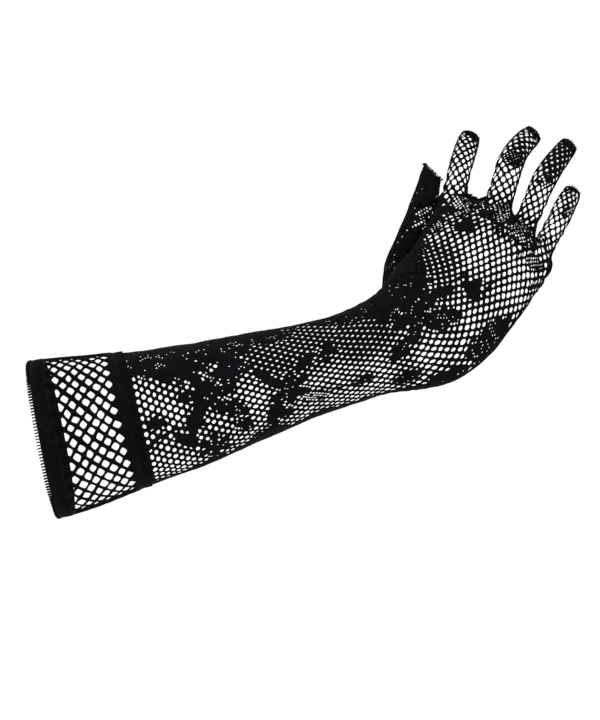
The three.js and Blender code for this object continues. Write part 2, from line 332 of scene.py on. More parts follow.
class Tube:
    """A tube of cloth with a superellipse section at each distance along its centre line."""

    STEP = 1.0

    def __init__(self, path, sections, base, squareness, slant=0, beyond=0):
        self.path, self.sections, self.squareness, self.slant = path, sections, squareness, slant
        first, self.tip = path.columns["at"][[0, -1]]
        self.at = np.arange(first - beyond, self.tip + beyond + self.STEP, self.STEP)
        along = directions_on(path, (self.at[1:] + self.at[:-1]) / 2)[0]
        self.line = np.concatenate([np.zeros((1, 3)), np.cumsum(along * self.STEP, 0)])
        self.line = self.line - self.on_line(0) + base
        self.arc = EvenArc(squareness)

    def on_line(self, at):
        return np.stack([np.interp(at, self.at, self.line[:, i]) for i in range(3)], -1)

    def size(self, at):
        return self.sections.smooth("width", at), self.sections.smooth("thick", at)

    def section(self, at):
        """Centre, along, across and deep at each distance."""
        at = np.asarray(at, float)
        centre = self.on_line(at)
        along, across, deep = directions_on(self.path, at)
        if "shift" in self.sections.columns:
            centre = centre + across * self.sections.smooth("shift", at)[..., None]
        if self.slant:
            turn = np.radians(self.slant) * np.clip(2 * at / self.tip - 1, 0, 1)[..., None]
            across, along = (
                across * np.cos(turn) + along * np.sin(turn),
                along * np.cos(turn) - across * np.sin(turn),
            )
        return centre, along, across, deep

    def point(self, at, share, side, inset=0.0):
        """A point of the surface: share of the way from the thumb side to the far side."""
        centre, _, across, deep = self.section(at)
        width, thick = self.size(at)
        theta = self.arc.angle(share, thick / width)
        x = (width / 2 - inset) * bend(np.cos(theta), self.squareness)
        y = side * (thick / 2 - inset) * bend(np.sin(theta), self.squareness)
        return centre + across * x[..., None] + deep * y[..., None]

    def nearest(self, points):
        """Distance along the centre line that lies nearest to each point."""
        best = np.zeros(len(points), int)
        least = np.full(len(points), np.inf)
        for i in range(len(self.line)):
            far = ((points - self.line[i]) ** 2).sum(-1)
            better = far < least
            best[better], least[better] = i, far[better]
        return self.at[best]

    def outside(self, points, at):
        """Roughly how far each point lies outside the surface; at is its nearest distance along."""
        centre, along, _, _ = self.section(at)
        away = points - centre
        slip = (away * along).sum(-1)
        moved = np.clip(at + slip, self.at[0], self.at[-1])
        left = at + slip - moved
        centre, _, across, deep = self.section(moved)
        away = points - centre
        width, thick = self.size(moved)
        x, y = (away * across).sum(-1), (away * deep).sum(-1)
        n = self.squareness
        rho = (np.abs(2 * x / width) ** n + np.abs(2 * y / thick) ** n) ** (1 / n) + TINY
        flat = np.where(rho < TUBE_MIDDLE, -thick / 2, np.hypot(x, y) * (1 - 1 / rho))
        return np.where(left == 0, flat, np.hypot(np.maximum(flat, 0), left))


body_tube = Tube(BODY_PATH, BODY_SECTIONS, np.zeros(3), BODY_SQUARENESS)


def stall_tube(name):
    station, towards_thumb, towards_palm = STALLS[name]["base"]
    _, across, deep = directions_on(BODY_PATH, station)
    base = body_tube.on_line(station) + across * towards_thumb + deep * towards_palm
    rows = STALLS[name]["rows"]
    return Tube(rows, rows, base, STALL_SQUARENESS, STALLS[name]["slant"], beyond=6)


stalls = {name: stall_tube(name) for name in STALLS}

# How softly the tubes meet, how far apart the slope of their distance is felt, and the longest move
WEB_SOFTNESS = 4.0
FEELING = 0.15
LONGEST_MOVE = 2


def union_distance(points, stations):
    """Distance outside the hand with all its stalls, with a soft web where they meet."""
    (first, at), *others = stations
    total = first.outside(points, at)
    for tube, at in others:
        this = tube.outside(points, at)
        h = np.clip(0.5 + 0.5 * (total - this) / WEB_SOFTNESS, 0, 1)
        total = total * (1 - h) + this * h - WEB_SOFTNESS * h * (1 - h)
    return total


def settle(points, depth, rounds=3):
    """Moves points to a depth under the soft union of the hand and its stalls."""
    tubes = [body_tube, *stalls.values()]
    points = points.copy()
    for _ in range(rounds):
        stations = [(tube, tube.nearest(points)) for tube in tubes]
        here = union_distance(points, stations) + depth
        slope = np.zeros_like(points)
        for axis in range(3):
            nudge = np.zeros(3)
            nudge[axis] = FEELING
            ahead = union_distance(points + nudge, stations)
            behind = union_distance(points - nudge, stations)
            slope[:, axis] = (ahead - behind) / (2 * FEELING)
        steep = (slope ** 2).sum(-1) + SMALL
        move = np.clip(here / steep, -LONGEST_MOVE, LONGEST_MOVE)
        points -= slope * move[:, None]
    return points


# Where a place of the lace lies on the worn glove

# First column of each finger
ROOT_COLUMNS = {name: THUMB_COLUMNS + i * STALL_COLUMNS for i, name in enumerate(FINGERS)}


def first_column(station):
    """Columns up to this one are drawn into the thumb side's join."""
    return THUMB_COLUMNS * smoothstep(*THUMB_DRAWN, station)


def stall_rows(name):
    return round(stalls[name].tip / STALL_ROW)


def stall_distance(name, row):
    """Distance along a stall at a row counted from its base."""
    return row * stalls[name].tip / stall_rows(name)


def body_station(column, row):
    """Distance along the glove of a place of the sleeve or hand."""
    sleeve = JOINING_BAND_END + (SLEEVE_END - JOINING_BAND_END) * row / WRIST_ROW
    ahead = (row - WRIST_ROW) / (CROTCH_ROW - WRIST_ROW)
    hand = SLEEVE_END + (KNUCKLES.smooth("station", column) - SLEEVE_END) * ahead
    return np.where(row <= WRIST_ROW, sleeve, hand)


def body_place(column, row, side, inset, begins=JOINING_BAND_END):
    """A place of the sleeve or hand as its section gives it."""
    station = np.maximum(body_station(column, row), begins)
    low = first_column(station)
    share = np.clip((column - low) / (SLEEVE_COLUMNS - low), 0, 1)
    return body_tube.point(station, share, side, inset)


def stall_place(name, first, column, row, side, inset):
    """A place of a stall, whose two faces come together at the closed tip."""
    share = np.clip((column - first) / STALL_COLUMNS, 0, 1)
    tip = stalls[name].tip - TIP_ROUNDING * (name in FINGERS) * (2 * share - 1) ** 2
    distance = np.minimum(stall_distance(name, row), tip)
    place = stalls[name].point(distance, share, side, inset)
    beneath = stalls[name].point(distance, share, -side, inset)
    near_tip = np.clip((distance - tip + TIP_CLOSING) / TIP_CLOSING, 0, 1)
    apart = np.maximum(np.sqrt(1 - near_tip ** 2), TIP_APART)[:, None]
    return (place + beneath) / 2 + (place - beneath) / 2 * apart


# Rows over which the hand turns into fingers, and rows and columns of the webs between them
BLEND_ROWS = 7
WEB_ROWS = 3
WEB_COLUMNS = 4

# How deep the cloth lies under the solids' surface
CLOTH_DEPTH = 0.4
THUMB_DEPTH = 0.65

# The worn cloth's hills and hollows: height, size and seed of each
HILLS = ((0.22, 34, 21), (0.12, 11, 22))
HILL_LEVEL = 0.3
THUMB_HILLS = (0.2, 20, 24)
COARSE_HILLS = (0.15, 30, 31)

# Creases across the knuckles and the wrist: depth, and rows between which they rise and fade. Then how
# many rows they lie apart, and how far, over what size and with what seed they wander.
CREASES = ((0.75, 76, 82, 92, 98), (0.35, 38, 44, 52, 58))
CREASE_ROWS = 2.6
CREASE_WANDER = (0.25, 26, 23)


def hills(x, y, height, size, seed):
    """Smooth random hills and hollows of about a height, about size across."""
    return height * waves(x, y, seed, size)


def ripple(column, row):
    """How far the worn cloth sinks and gathers, in millimetres under its smoothest shape."""
    x, y = column * KNIT_WIDTH, row * KNIT_LENGTH
    soft = sum(hills(x, y, *each) for each in HILLS)
    crease = 0.5 + 0.5 * np.sin(2 * np.pi * (row / CREASE_ROWS + hills(x, y, *CREASE_WANDER)))
    depth = sum(
        deep * (smoothstep(begin, full, row) * (1 - smoothstep(fade, end, row)))
        for deep, begin, full, fade, end in CREASES
    )
    return CLOTH_DEPTH + np.clip(HILL_LEVEL + soft, 0, 1) + crease * depth


def hand_place(column, row, side, inset, finger=None):
    """A place of the hand or of a finger, where fingers side by side share their crotch."""
    column, row = np.asarray(column, float), np.asarray(row, float)
    ahead = row - CROTCH_ROW
    place = body_place(column, np.minimum(row, CROTCH_ROW), side, inset)
    if finger is None:
        number = np.clip((column - THUMB_COLUMNS) // STALL_COLUMNS, 0, len(FINGERS) - 1).astype(int)
    else:
        number = np.full(column.shape, FINGERS.index(finger))
    share = smoothstep(-BLEND_ROWS, 0, ahead)[:, None]
    shared = 1 - smoothstep(0, WEB_ROWS, ahead)
    result = place.copy()
    for i, name in enumerate(FINGERS):
        mine = (number == i) & (ahead > -BLEND_ROWS)
        if not mine.any():
            continue
        first = ROOT_COLUMNS[name]
        c, r, s, deep = column[mine], ahead[mine], side[mine], inset[mine]
        p = stall_place(name, first, c, r, s, deep)
        for other, edge in ((i - 1, first), (i + 1, first + STALL_COLUMNS)):
            if not 0 <= other < len(FINGERS):
                continue
            neighbour = FINGERS[other]
            at_edge = np.full(c.shape, float(edge))
            own = stall_place(name, first, at_edge, r, s, deep)
            theirs = stall_place(neighbour, ROOT_COLUMNS[neighbour], at_edge, r, s, deep)
            near = np.clip(1 - np.abs(c - edge) / WEB_COLUMNS, 0, 1) ** 2 * shared[mine]
            p += (theirs - own) / 2 * near[:, None]
        w = share[mine]
        result[mine] = place[mine] * (1 - w) + p * w
    return result


# The palm's net is slipped along the cloth until its holes lie behind those of the back as the camera
# sees them, so that the lace reads clearly. The slip fades over these many columns towards the sides.
SLIP_FADE = 4
STALL_FADE = 2


class Slip:
    """How far the palm's net slips round and along the glove, worked out on a grid and read between."""

    SOLVING_ROUNDS = 4
    SMOOTHING_ROUNDS = 4

    # The longest step in a round, the most whole cells that are tried, and the area in square millimetres
    # of one half step by another, as the camera sees it, under which a place stays where it is
    MOST_COLUMNS, MOST_ROWS = 3, 4
    MOST_CELLS = 6
    EDGE_ON = 0.3

    def __init__(self, place, columns, rows, shift):
        self.first = np.array([0.0, rows[0]])
        column, row = np.arange(columns + 1.0), np.arange(rows[0], rows[1] + 1.0)
        column, row = np.meshgrid(column, row, indexing="ij")
        slipped = self.solve(place, column.ravel(), row.ravel())
        if shift is None:
            shift = self.whole_cells(np.median(slipped, 0))
        self.grid = (slipped - shift).reshape(*column.shape, 2)
        for _ in range(self.SMOOTHING_ROUNDS):
            for axis in (0, 1):
                lines = np.arange(self.grid.shape[axis])
                near = np.take(self.grid, np.maximum(lines - 1, 0), axis)
                far = np.take(self.grid, np.minimum(lines + 1, lines[-1]), axis)
                self.grid = (near + 2 * self.grid + far) / 4

    def whole_cells(self, slip):
        """The whole cells nearest to a slip, which can be left out of it."""
        counts = range(-self.MOST_CELLS, self.MOST_CELLS + 1)
        steps = [(m, n) for m in counts for n in counts if (m + n) % 2 == 0]
        return min(steps, key=lambda step: math.hypot(
            (slip[0] - step[0]) * KNIT_WIDTH, (slip[1] - step[1]) * KNIT_LENGTH
        ))

    def solve(self, place, column, row):
        """The slips that bring places of the palm behind the same places of the back."""
        back = place(column, row, BACK)
        c, r = column.copy(), row.copy()
        for _ in range(self.SOLVING_ROUNDS):
            palm = place(c, r, PALM)
            reach = (palm[:, 1] - EYE[1]) / (back[:, 1] - EYE[1])
            away = (EYE + (back - EYE) * reach[:, None] - palm)[:, [0, 2]]
            by_column = (2 * (place(c + 0.5, r, PALM) - palm))[:, [0, 2]]
            by_row = (2 * (place(c, r + 0.5, PALM) - palm))[:, [0, 2]]
            facing = by_column[:, 0] * by_row[:, 1] - by_column[:, 1] * by_row[:, 0]
            facing = np.where(np.abs(facing) < self.EDGE_ON, np.inf, facing)
            columns = (away[:, 0] * by_row[:, 1] - away[:, 1] * by_row[:, 0]) / facing
            rows = (by_column[:, 0] * away[:, 1] - by_column[:, 1] * away[:, 0]) / facing
            c += np.clip(columns, -self.MOST_COLUMNS, self.MOST_COLUMNS)
            r += np.clip(rows, -self.MOST_ROWS, self.MOST_ROWS)
        return np.stack([c - column, r - row], -1)

    def __call__(self, column, row):
        size = np.array(self.grid.shape[:2]) - 1 - GRID_EDGE
        place = np.clip(np.stack([column, row], -1) - self.first, 0, size)
        return between(self.grid, *place.T).T


def draw_over(place, depth, share):
    """Draws the cloth by a share of the way over the webs between the stalls."""
    moving = share > 0
    settled = settle(place[moving], depth[moving])
    place[moving] += (settled - place[moving]) * share[moving, None]
    return place


# Rows past the wrist, and rows past the crotches, between which the cloth begins or stops to be drawn over
DRAWN_PAST_WRIST = (3, 9)
DRAWN_PAST_CROTCH = (2, 6)


def drawn_on_hand(row):
    return smoothstep(*DRAWN_PAST_WRIST, row - WRIST_ROW)


def drawn_on_finger(row):
    return 1 - smoothstep(*DRAWN_PAST_CROTCH, row - CROTCH_ROW)


def smooth_place(column, row, side):
    """The sleeve and hand as they are without ripples, for any row."""
    inset = np.full(column.shape, CLOTH_DEPTH)
    place = body_place(column, row, side, inset, begins=0)
    hand = row > WRIST_ROW + DRAWN_PAST_WRIST[0]
    sides = np.full(column.shape, side)
    place[hand] = hand_place(column[hand], row[hand], sides[hand], inset[hand])
    return draw_over(place, inset, drawn_on_hand(row))


body_slip = Slip(smooth_place, SLEEVE_COLUMNS, (FIRST_SLEEVE_ROW, CROTCH_ROW), (0, 0))

# Rows before the crotches, rows from a finger's root and rows from a tip over which the slip changes
KNUCKLE_FADE = 5
ROOT_FADE = 4
TIP_FADE = 2.5


def away_from_edges(column, low, high, width):
    """0 at the low and the high column, and 1 where it is further than a width from both."""
    return smoothstep(0, width, column - low) * smoothstep(0, width, high - column)


def line_up(column, row, side):
    """Slips places of the palm, but not at the sides, nor at the crotches between the fingers."""
    by_column, by_row = body_slip(column, row)
    low = first_column(body_station(column, row))
    share = away_from_edges(column, low, SLEEVE_COLUMNS, SLIP_FADE)
    within = np.mod(column - THUMB_COLUMNS, STALL_COLUMNS)
    at_stalls = away_from_edges(within, 0, STALL_COLUMNS, STALL_FADE)
    share += (at_stalls - share) * smoothstep(CROTCH_ROW - KNUCKLE_FADE, CROTCH_ROW, row)
    share = share * (side == PALM)
    return column + by_column * share, row + by_row * share


def stall_slip(name):
    """The slip of a stall. A finger's follows the hand's, and the thumb's leaves out whole cells."""
    def place(column, row, side):
        inset = np.full(column.shape, CLOTH_DEPTH)
        place = stall_place(name, 0, column, row, side, inset)
        return draw_over(place, inset, drawn_on_finger(row + CROTCH_ROW))

    shift = (0, 0) if name in FINGERS else None
    return Slip(place, STALL_COLUMNS, (FIRST_STALL_ROW, stall_rows(name)), shift)


stall_slips = {name: stall_slip(name) for name in STALLS}


def line_up_stall(name, column, row, side):
    """The same within a stall, whose own columns and rows count from its root."""
    slip = np.stack(stall_slips[name](column, row))
    if name in FINGERS:
        root_row = np.full(row.shape, float(CROTCH_ROW))
        at_root = np.stack(body_slip(column + ROOT_COLUMNS[name], root_row))
        slip += (at_root - slip) * (1 - smoothstep(0, ROOT_FADE, row))
    share = away_from_edges(column, 0, STALL_COLUMNS, STALL_FADE) * (side == PALM)
    share = share * (1 - smoothstep(stall_rows(name) - TIP_FADE, stall_rows(name), row))
    return column + slip[0] * share, row + slip[1] * share


def sleeve_place(column, row, side):
    column, row = line_up(column, row, side)
    return body_place(column, row, side, ripple(column, row))


# The hollow beside the root of the little finger: its x and z, how far it reaches, how deep it is, the
# way out of it, and the columns over which the cloth begins to span it
HOLLOW = np.array([309.5, 112.6])
HOLLOW_REACH = 9.0
HOLLOW_DEPTH = 2.8
HOLLOW_WAY = np.array([0.92, 0, -0.39])
HOLLOW_COLUMNS = (43, 50)


def span_hollow(place, column):
    """Draws the cloth straight across the hollow beside the root of the little finger."""
    away = np.linalg.norm(place[:, [0, 2]] - HOLLOW, axis=1) / HOLLOW_REACH
    rise = HOLLOW_DEPTH * np.exp(-away ** 2) * smoothstep(*HOLLOW_COLUMNS, column)
    return place + rise[:, None] * HOLLOW_WAY


def worn_hand_place(column, row, side, finger=None):
    """The hand's cloth is drawn over the webs between the stalls, up to where the fingers part."""
    if finger is None:
        column, row = line_up(column, row, side)
    else:
        first = ROOT_COLUMNS[finger]
        column, row = line_up_stall(finger, column - first, row - CROTCH_ROW, side)
        column, row = column + first, row + CROTCH_ROW
    depth = ripple(column, row)
    place = hand_place(column, row, side, depth, finger)
    drawn = drawn_on_finger(row) if finger else drawn_on_hand(row)
    return span_hollow(draw_over(place, depth, drawn), column)


# The floral pattern: flowers, leaves, stems and openwork clouds, placed by column and row of the lace

# Lengths of the waves against the size asked for
WAVE_LENGTHS = (0.7, 1.6)


def waves(x, y, seed, size, count=7):
    """Smooth random hills and hollows from about -1 to 1, about size across."""
    rng = np.random.default_rng(seed)
    turns = rng.uniform(0, 2 * np.pi, count)
    lengths = rng.uniform(*WAVE_LENGTHS, count) * size
    phases = rng.uniform(0, 2 * np.pi, count)
    total = np.zeros(np.shape(x))
    for turn, length, phase in zip(turns, lengths, phases):
        total += np.sin((x * math.cos(turn) + y * math.sin(turn)) * 2 * np.pi / length + phase)
    return total / math.sqrt(count)


# Kinds of knit: open net, finer net, pinholed and solid
OPEN, MESH, OPENWORK, SOLID = 0, 1, 2, 3

# A motif's fringe: its width as a share of the motif's size, how long its pieces are and how rare
FRINGE_WIDTH = 0.12
FRINGE_LENGTH = 7
FRINGE_RARITY = 0.6

# The leaves of a sprig: how far each is fanned out, and its length
SPRIG_LEAVES = ((-0.95, 0.48), (0, 0.6), (0.95, 0.45))


def turned(x, y, turn):
    """Along and across a motif that is turned from the columns' way."""
    return x * math.cos(turn) + y * math.sin(turn), y * math.cos(turn) - x * math.sin(turn)


def lacy(solid, x, y, seed):
    """Solid stitches with a broken fringe of finer net; solid is how deep inside a place lies."""
    fringe = (solid > -FRINGE_WIDTH) & (waves(x, y, seed, FRINGE_LENGTH) > FRINGE_RARITY)
    return np.where(solid > 0, SOLID, np.where(fringe, MESH, OPEN))


def flower(x, y, size, turn, petals=6):
    """Pointed petals round an openwork eye, parted by openwork veins. Radii are shares of its size."""
    radius, angle = np.hypot(x, y) / size, np.arctan2(y, x) - turn
    lobe = np.abs(np.cos(petals / 2 * angle))
    petal = 0.38 + 0.62 * lobe ** 1.3
    vein = (lobe < 0.3) & (radius > 0.3)
    midrib = (lobe > 0.985) & (radius > 0.4) & (radius < 0.7)
    eye = (radius > 0.1) & (radius < 0.2)
    kind = lacy(petal - radius, x, y, round(9 * size))
    return np.where((kind == SOLID) & (eye | vein | midrib), OPENWORK, kind)


def leaf(x, y, size, turn, slim=0.6):
    """A pointed leaf with toothed sides and an openwork midrib. Widths are shares of its size."""
    a, b = turned(x / size, y / size, turn)
    teeth = 1 + 0.22 * np.cos(11 * a + np.sign(b))
    half = slim * np.clip(1 - np.abs(a), 0, 1) ** 0.75 * teeth
    rib = (np.abs(b) < 0.09) & (np.abs(a) < 0.5) & (size > 10)
    kind = lacy(half - np.abs(b) - 0.3 * (np.abs(a) > 1), x, y, round(8 * size))
    return np.where((kind == SOLID) & rib, OPENWORK, kind)


def sprig(x, y, size, turn):
    """Three leaves fanned out from one point."""
    kind = np.zeros(np.shape(x), int)
    root_x, root_y = -0.5 * size * math.cos(turn), -0.5 * size * math.sin(turn)
    for fan, length in SPRIG_LEAVES:
        way = turn + fan
        out_x, out_y = root_x + length * size * math.cos(way), root_y + length * size * math.sin(way)
        kind = np.maximum(kind, leaf(x - out_x, y - out_y, length * size, way))
    return kind


def stem(x, y, size, turn, thin=0.75, bow=0.25):
    """A thin bowed line of solid stitches."""
    a, b = turned(x, y, turn)
    a /= size
    b += bow * size * (a * a - 0.5)
    return np.where((np.abs(b) < thin) & (np.abs(a) < 1), SOLID, OPEN)


def patch(x, y, size, turn, slim, solid_above):
    """A soft-edged patch of openwork, with solid blotches where the waves rise above a level."""
    a, b = turned(x / size, y / size, turn)
    b /= slim
    seed = round(10 * size + 7 * turn)
    edge = 1 + 0.3 * waves(x, y, seed, 10)
    solid = waves(x, y, seed + 1, 8) > solid_above
    return np.where(a * a + b * b < edge, np.where(solid, SOLID, OPENWORK), OPEN)


def cloud(x, y, size, turn):
    """Solid blotches with some openwork."""
    return patch(x, y, size, turn, 0.58, -0.45)


def veil(x, y, size, turn):
    """Openwork with few solid blotches."""
    return patch(x, y, size, turn, 0.6, 0.45)


def mesh(x, y, size, turn):
    """A patch of finer net with stray solid stitches and a broken outline."""
    kind = patch(x, y, size, turn, 0.7, 1.1)
    return np.where(kind == OPENWORK, MESH, kind)


def gathered(x, y, size, turn):
    """Open net whose holes are smaller, with nothing else in it."""
    return np.zeros(np.shape(x), int)


SHAPES = {
    "flower": flower, "leaf": leaf, "sprig": sprig, "stem": stem,
    "cloud": cloud, "veil": veil, "mesh": mesh, "gathered": gathered,
}

# Kind, column from the thumb side, row from the cuff, size and turn of each motif.
# The back and the palm have the same ones.
MOTIFS = (
    ("cloud", 5, 5, 30, 1.57),
    ("cloud", 14, 9, 20, 1.3),
    ("leaf", 12, 2, 11, 1.2),
    ("flower", 23, 13, 17, 0.4),
    ("leaf", 29, 17, 11, 0.9),
    ("sprig", 18, 19, 17, 1.4),
    ("leaf", 29, 10, 9, 2.2),
    ("sprig", 33, 8, 11, 2.3),
    ("stem", 31, 4, 13, 1.9),
    ("leaf", 27, 3, 7, 1.3),
    ("flower", 38, 12, 11, 0.9),
    ("stem", 42, 16, 16, 1.1),
    ("veil", 46, 11, 15, 1.57),
    ("leaf", 35, 18, 8, 0.8),
    ("cloud", 3, 22, 28, 1.57),
    ("cloud", 11, 17, 20, 1.3),
    ("cloud", 9, 27, 16, 1.5),
    ("gathered", 15, 30, 30, 0),
    ("flower", 29, 28, 14, 0.9),
    ("sprig", 36, 25, 15, 1.2),
    ("leaf", 23, 24, 9, 0.6),
    ("leaf", 22, 32, 9, 2.2),
    ("cloud", 43, 22, 13, 1.3),
    ("mesh", 35, 32, 8, 1.3),
    ("stem", 36, 37, 15, 1.5),
    ("leaf", 44, 33, 10, 1.4),
    ("cloud", 4, 43, 32, 1.57),
    ("cloud", 12, 46, 20, 1.5),
    ("gathered", 19, 45, 24, 0),
    ("leaf", 36, 42, 6, 1.6),
    ("sprig", 21, 37, 11, 1.1),
    ("cloud", 9, 54, 26, 1.5),
    ("flower", 25, 56, 21, 0.5),
    ("flower", 19, 51, 12, 0.2),
    ("sprig", 17, 49, 15, 1.9),
    ("sprig", 20, 62, 17, 1.3),
    ("leaf", 31, 61, 12, 0.9),
    ("leaf", 32, 50, 11, 2.2),
    ("cloud", 17, 56, 14, 1.2),
    ("leaf", 41, 50, 10, 1.7),
    ("leaf", 26, 64, 9, 1.0),
    ("stem", 27, 67, 12, 1.4),
    ("cloud", 13, 63, 15, 1.5),
    ("gathered", 17, 69, 20, 0),
    ("veil", 13, 71, 12, 1.5),
    ("cloud", 46, 57, 12, 1.5),
    ("veil", 44, 65, 15, 1.4),
    ("sprig", 45, 69, 13, 1.5),
    ("sprig", 32, 69, 12, 1.3),
    ("stem", 36, 72, 10, 1.2),
    ("mesh", 13, 79, 10, 1.5),
    ("sprig", 21, 80, 10, 1.9),
    ("mesh", 18, 85, 13, 0.1),
    ("mesh", 27, 85, 14, 0.05),
    ("mesh", 36, 84, 11, 0.2),
    ("leaf", 24, 84, 6, 0.9),
    ("leaf", 14, 84, 5, 0.5),
    ("leaf", 31, 85, 5, 1.9),
    ("mesh", 43, 82, 7, 0.3),
    ("mesh", 25, 97, 7, 0.1),
    ("mesh", 35, 96, 6, 0.2),
    ("gathered", 35, 102, 14, 0),
    ("mesh", 46, 96, 5, 1.2),
)
THUMB_MOTIFS = (
    ("veil", 5, 1, 20, 1.57),
    ("mesh", 6, 0, 9, 1.2),
    ("flower", 6, 5, 8, 0.4),
    ("leaf", 8, -1, 6, 1.9),
    ("cloud", 2, 8, 10, 1.57),
    ("mesh", 5, 9, 12, 1.57),
    ("cloud", 5, 17, 20, 1.57),
)


# How far a motif's shape can reach, and where the net beside it is drawn together, in sizes of the motif
MOTIF_REACH = 1.6
DRAWN_FROM, DRAWN_TO = 0.7, 1.5

# Share of their width that holes lose beside each kind of motif, and beside all the others
DRAWN_TOGETHER = {"gathered": 0.42, "stem": 0.1, "mesh": 0.1}
DRAWN_BY_OTHERS = 0.2


def stitch_kind(column, row, motifs):
    """The kind of knit at each place."""
    kind = np.zeros(np.shape(column), int)
    for name, at_column, at_row, size, turn in motifs:
        x = (column - at_column) * KNIT_WIDTH
        y = (row - at_row) * KNIT_LENGTH
        near = np.hypot(x, y) < MOTIF_REACH * size
        if near.any():
            kind[near] = np.maximum(kind[near], SHAPES[name](x[near], y[near], size, turn))
    return kind


def closeness(column, row, motifs):
    """How much the net is drawn together at each place: most beside a motif, and 0 well away."""
    near = np.zeros(np.shape(column))
    for name, at_column, at_row, size, _ in motifs:
        away = np.hypot((column - at_column) * KNIT_WIDTH, (row - at_row) * KNIT_LENGTH) / size
        loss = DRAWN_TOGETHER.get(name, DRAWN_BY_OTHERS)
        near = np.maximum(near, (1 - smoothstep(DRAWN_FROM, DRAWN_TO, away)) * loss)
    return near


# Cells of the lace

# How far a hole's corners are rounded: 1 is a diamond and 2 an oval
FINE_ROUNDNESS = 1.8
COARSE_ROUNDNESS = 1.22

# Where the sleeve is thick the net is pulled wide, and where it is thin it is pulled long
HOLE_STRETCH = Rows("at across along", [
    (0, 1.28, 0.75),
    (12, 1.2, 0.82),
    (25, 1.04, 0.92),
    (40, 0.92, 0.96),
    (55, 0.95, 0.96),
    (70, 1.02, 0.98),
    (87, 1.02, 0.98),
    (110, 0.98, 1.02),
])

# How far each knot lies out of place, in half steps, and the first column and row that have one. The
# knots where two fingers join lie in place.
JITTER = 0.085
KNOT_COLUMN, KNOT_ROW = -2, -20
KNOTS = (SLEEVE_COLUMNS + 8, 160)
jitter = np.random.default_rng(11).normal(0, JITTER, (*KNOTS, 2))
jitter[-KNOT_COLUMN::STALL_COLUMNS, CROTCH_ROW - 1 - KNOT_ROW:] = 0


def knot(column, row):
    """Columns and rows of the lattice's knots, each a little out of place."""
    i = np.clip(np.round(column).astype(int) - KNOT_COLUMN, 0, KNOTS[0] - 1)
    j = np.clip(np.round(row).astype(int) - KNOT_ROW, 0, KNOTS[1] - 1)
    return np.stack([column, row], -1) + jitter[i, j]


def ring_of(corners, segments):
    """Places round a cell, evenly along each of its four edges."""
    share = (np.arange(segments) / segments)[None, None, :, None]
    following = np.roll(corners, -1, 1)
    ring = corners[:, :, None] * (1 - share) + following[:, :, None] * share
    return ring.reshape(len(corners), corners.shape[1] * segments, 2)


def split(corners):
    """Four cells half the size in place of each cell."""
    middle = corners.mean(1)
    halfway = (corners + np.roll(corners, -1, 1)) / 2
    quarters = []
    for k in range(4):
        quarter = np.stack([corners[:, k], halfway[:, k], middle, halfway[:, k - 1]], 1)
        quarters.append(np.roll(quarter, k, 1))
    return np.concatenate(quarters)


def hole_ring(corners, segments, openness, roundness, stretch):
    """Places round each cell's hole, in step with the cell's own ring."""
    centre = corners.mean(1, keepdims=True)
    rays = ring_of(corners, segments) - centre
    unit = ring_of(np.array([[(1.0, 0.0), (0.0, 1.0), (-1.0, 0.0), (0.0, -1.0)]]), segments)[0]
    reach = 1 / (np.abs(unit) ** roundness).sum(-1) ** (1 / roundness) / 2 ** (1 - 1 / roundness)
    return centre, centre + rays * (reach[None, :] * openness[:, None])[..., None] * stretch[:, None]


# A hole is probed at these shares of its rays, then along each ray in steps. It closes when less than the
# least opening is clear, and no ray is drawn in past the least reach.
PROBED = np.linspace(0.2, 0.95, 4)
RAY_STEPS = 6
LEAST_OPENING = 0.22
WHOLLY_OPEN = 0.995
LEAST_REACH = 0.12


def trim_to_pattern(centre, ring, motifs):
    """Draws each hole in to the part of it that the pattern leaves open."""
    rays = ring.shape[1] // 2
    probes = centre[:, None] + (ring - centre)[:, ::2][:, :, None] * PROBED[None, None, :, None]
    probes = probes.reshape(len(ring), len(PROBED) * rays, 2)
    clear = stitch_kind(probes[..., 0], probes[..., 1], motifs) == OPEN
    weight = np.tile(PROBED, rays)[None, :] * clear
    share_open = weight.sum(1) / PROBED.sum() / rays
    total = np.maximum(weight.sum(1, keepdims=True), SMALL)
    moved = (probes * weight[..., None]).sum(1, keepdims=True) / total[..., None]
    centre = np.where((share_open > WHOLLY_OPEN)[:, None, None], centre, moved)
    steps = np.arange(1, RAY_STEPS + 1) / RAY_STEPS
    rays = centre[:, None] + (ring - centre)[:, :, None] * steps[None, None, :, None]
    clear = stitch_kind(rays[..., 0], rays[..., 1], motifs) == OPEN
    reach = np.cumprod(clear, 2).sum(2) / RAY_STEPS
    reach = (np.roll(reach, 1, 1) + 2 * reach + np.roll(reach, -1, 1)) / 4
    ring = centre + (ring - centre) * np.maximum(reach, LEAST_REACH)[..., None]
    return ring, share_open > LEAST_OPENING


class Lace:
    """Gathers the places and faces of one piece of lace before it is laid on the glove's shape."""

    def __init__(self):
        self.places, self.sides, self.faces, self.count = [], [], [], 0

    def add(self, places, side):
        n = places.shape[1]
        self.places.append(places.reshape(-1, 2))
        self.sides.append(np.repeat(side, n))
        numbers = self.count + np.arange(len(places) * n).reshape(len(places), n)
        self.count += numbers.size
        return numbers

    def face(self, corners, side):
        """Faces turn outwards on the back as they are listed, and on the palm the other way."""
        flipped = np.where((side == BACK)[:, None, None], corners, corners[..., ::-1])
        self.faces.append(flipped.reshape(-1, corners.shape[-1]))

    def pierced(self, outer, inner, side):
        a, b = self.add(outer, side), self.add(inner, side)
        self.face(np.stack([a, np.roll(a, -1, 1), np.roll(b, -1, 1), b], -1), side)

    def filled(self, outer, middle, side):
        a, b = self.add(outer, side), self.add(middle, side)
        self.face(np.stack([a, np.roll(a, -1, 1), np.broadcast_to(b, a.shape)], -1), side)


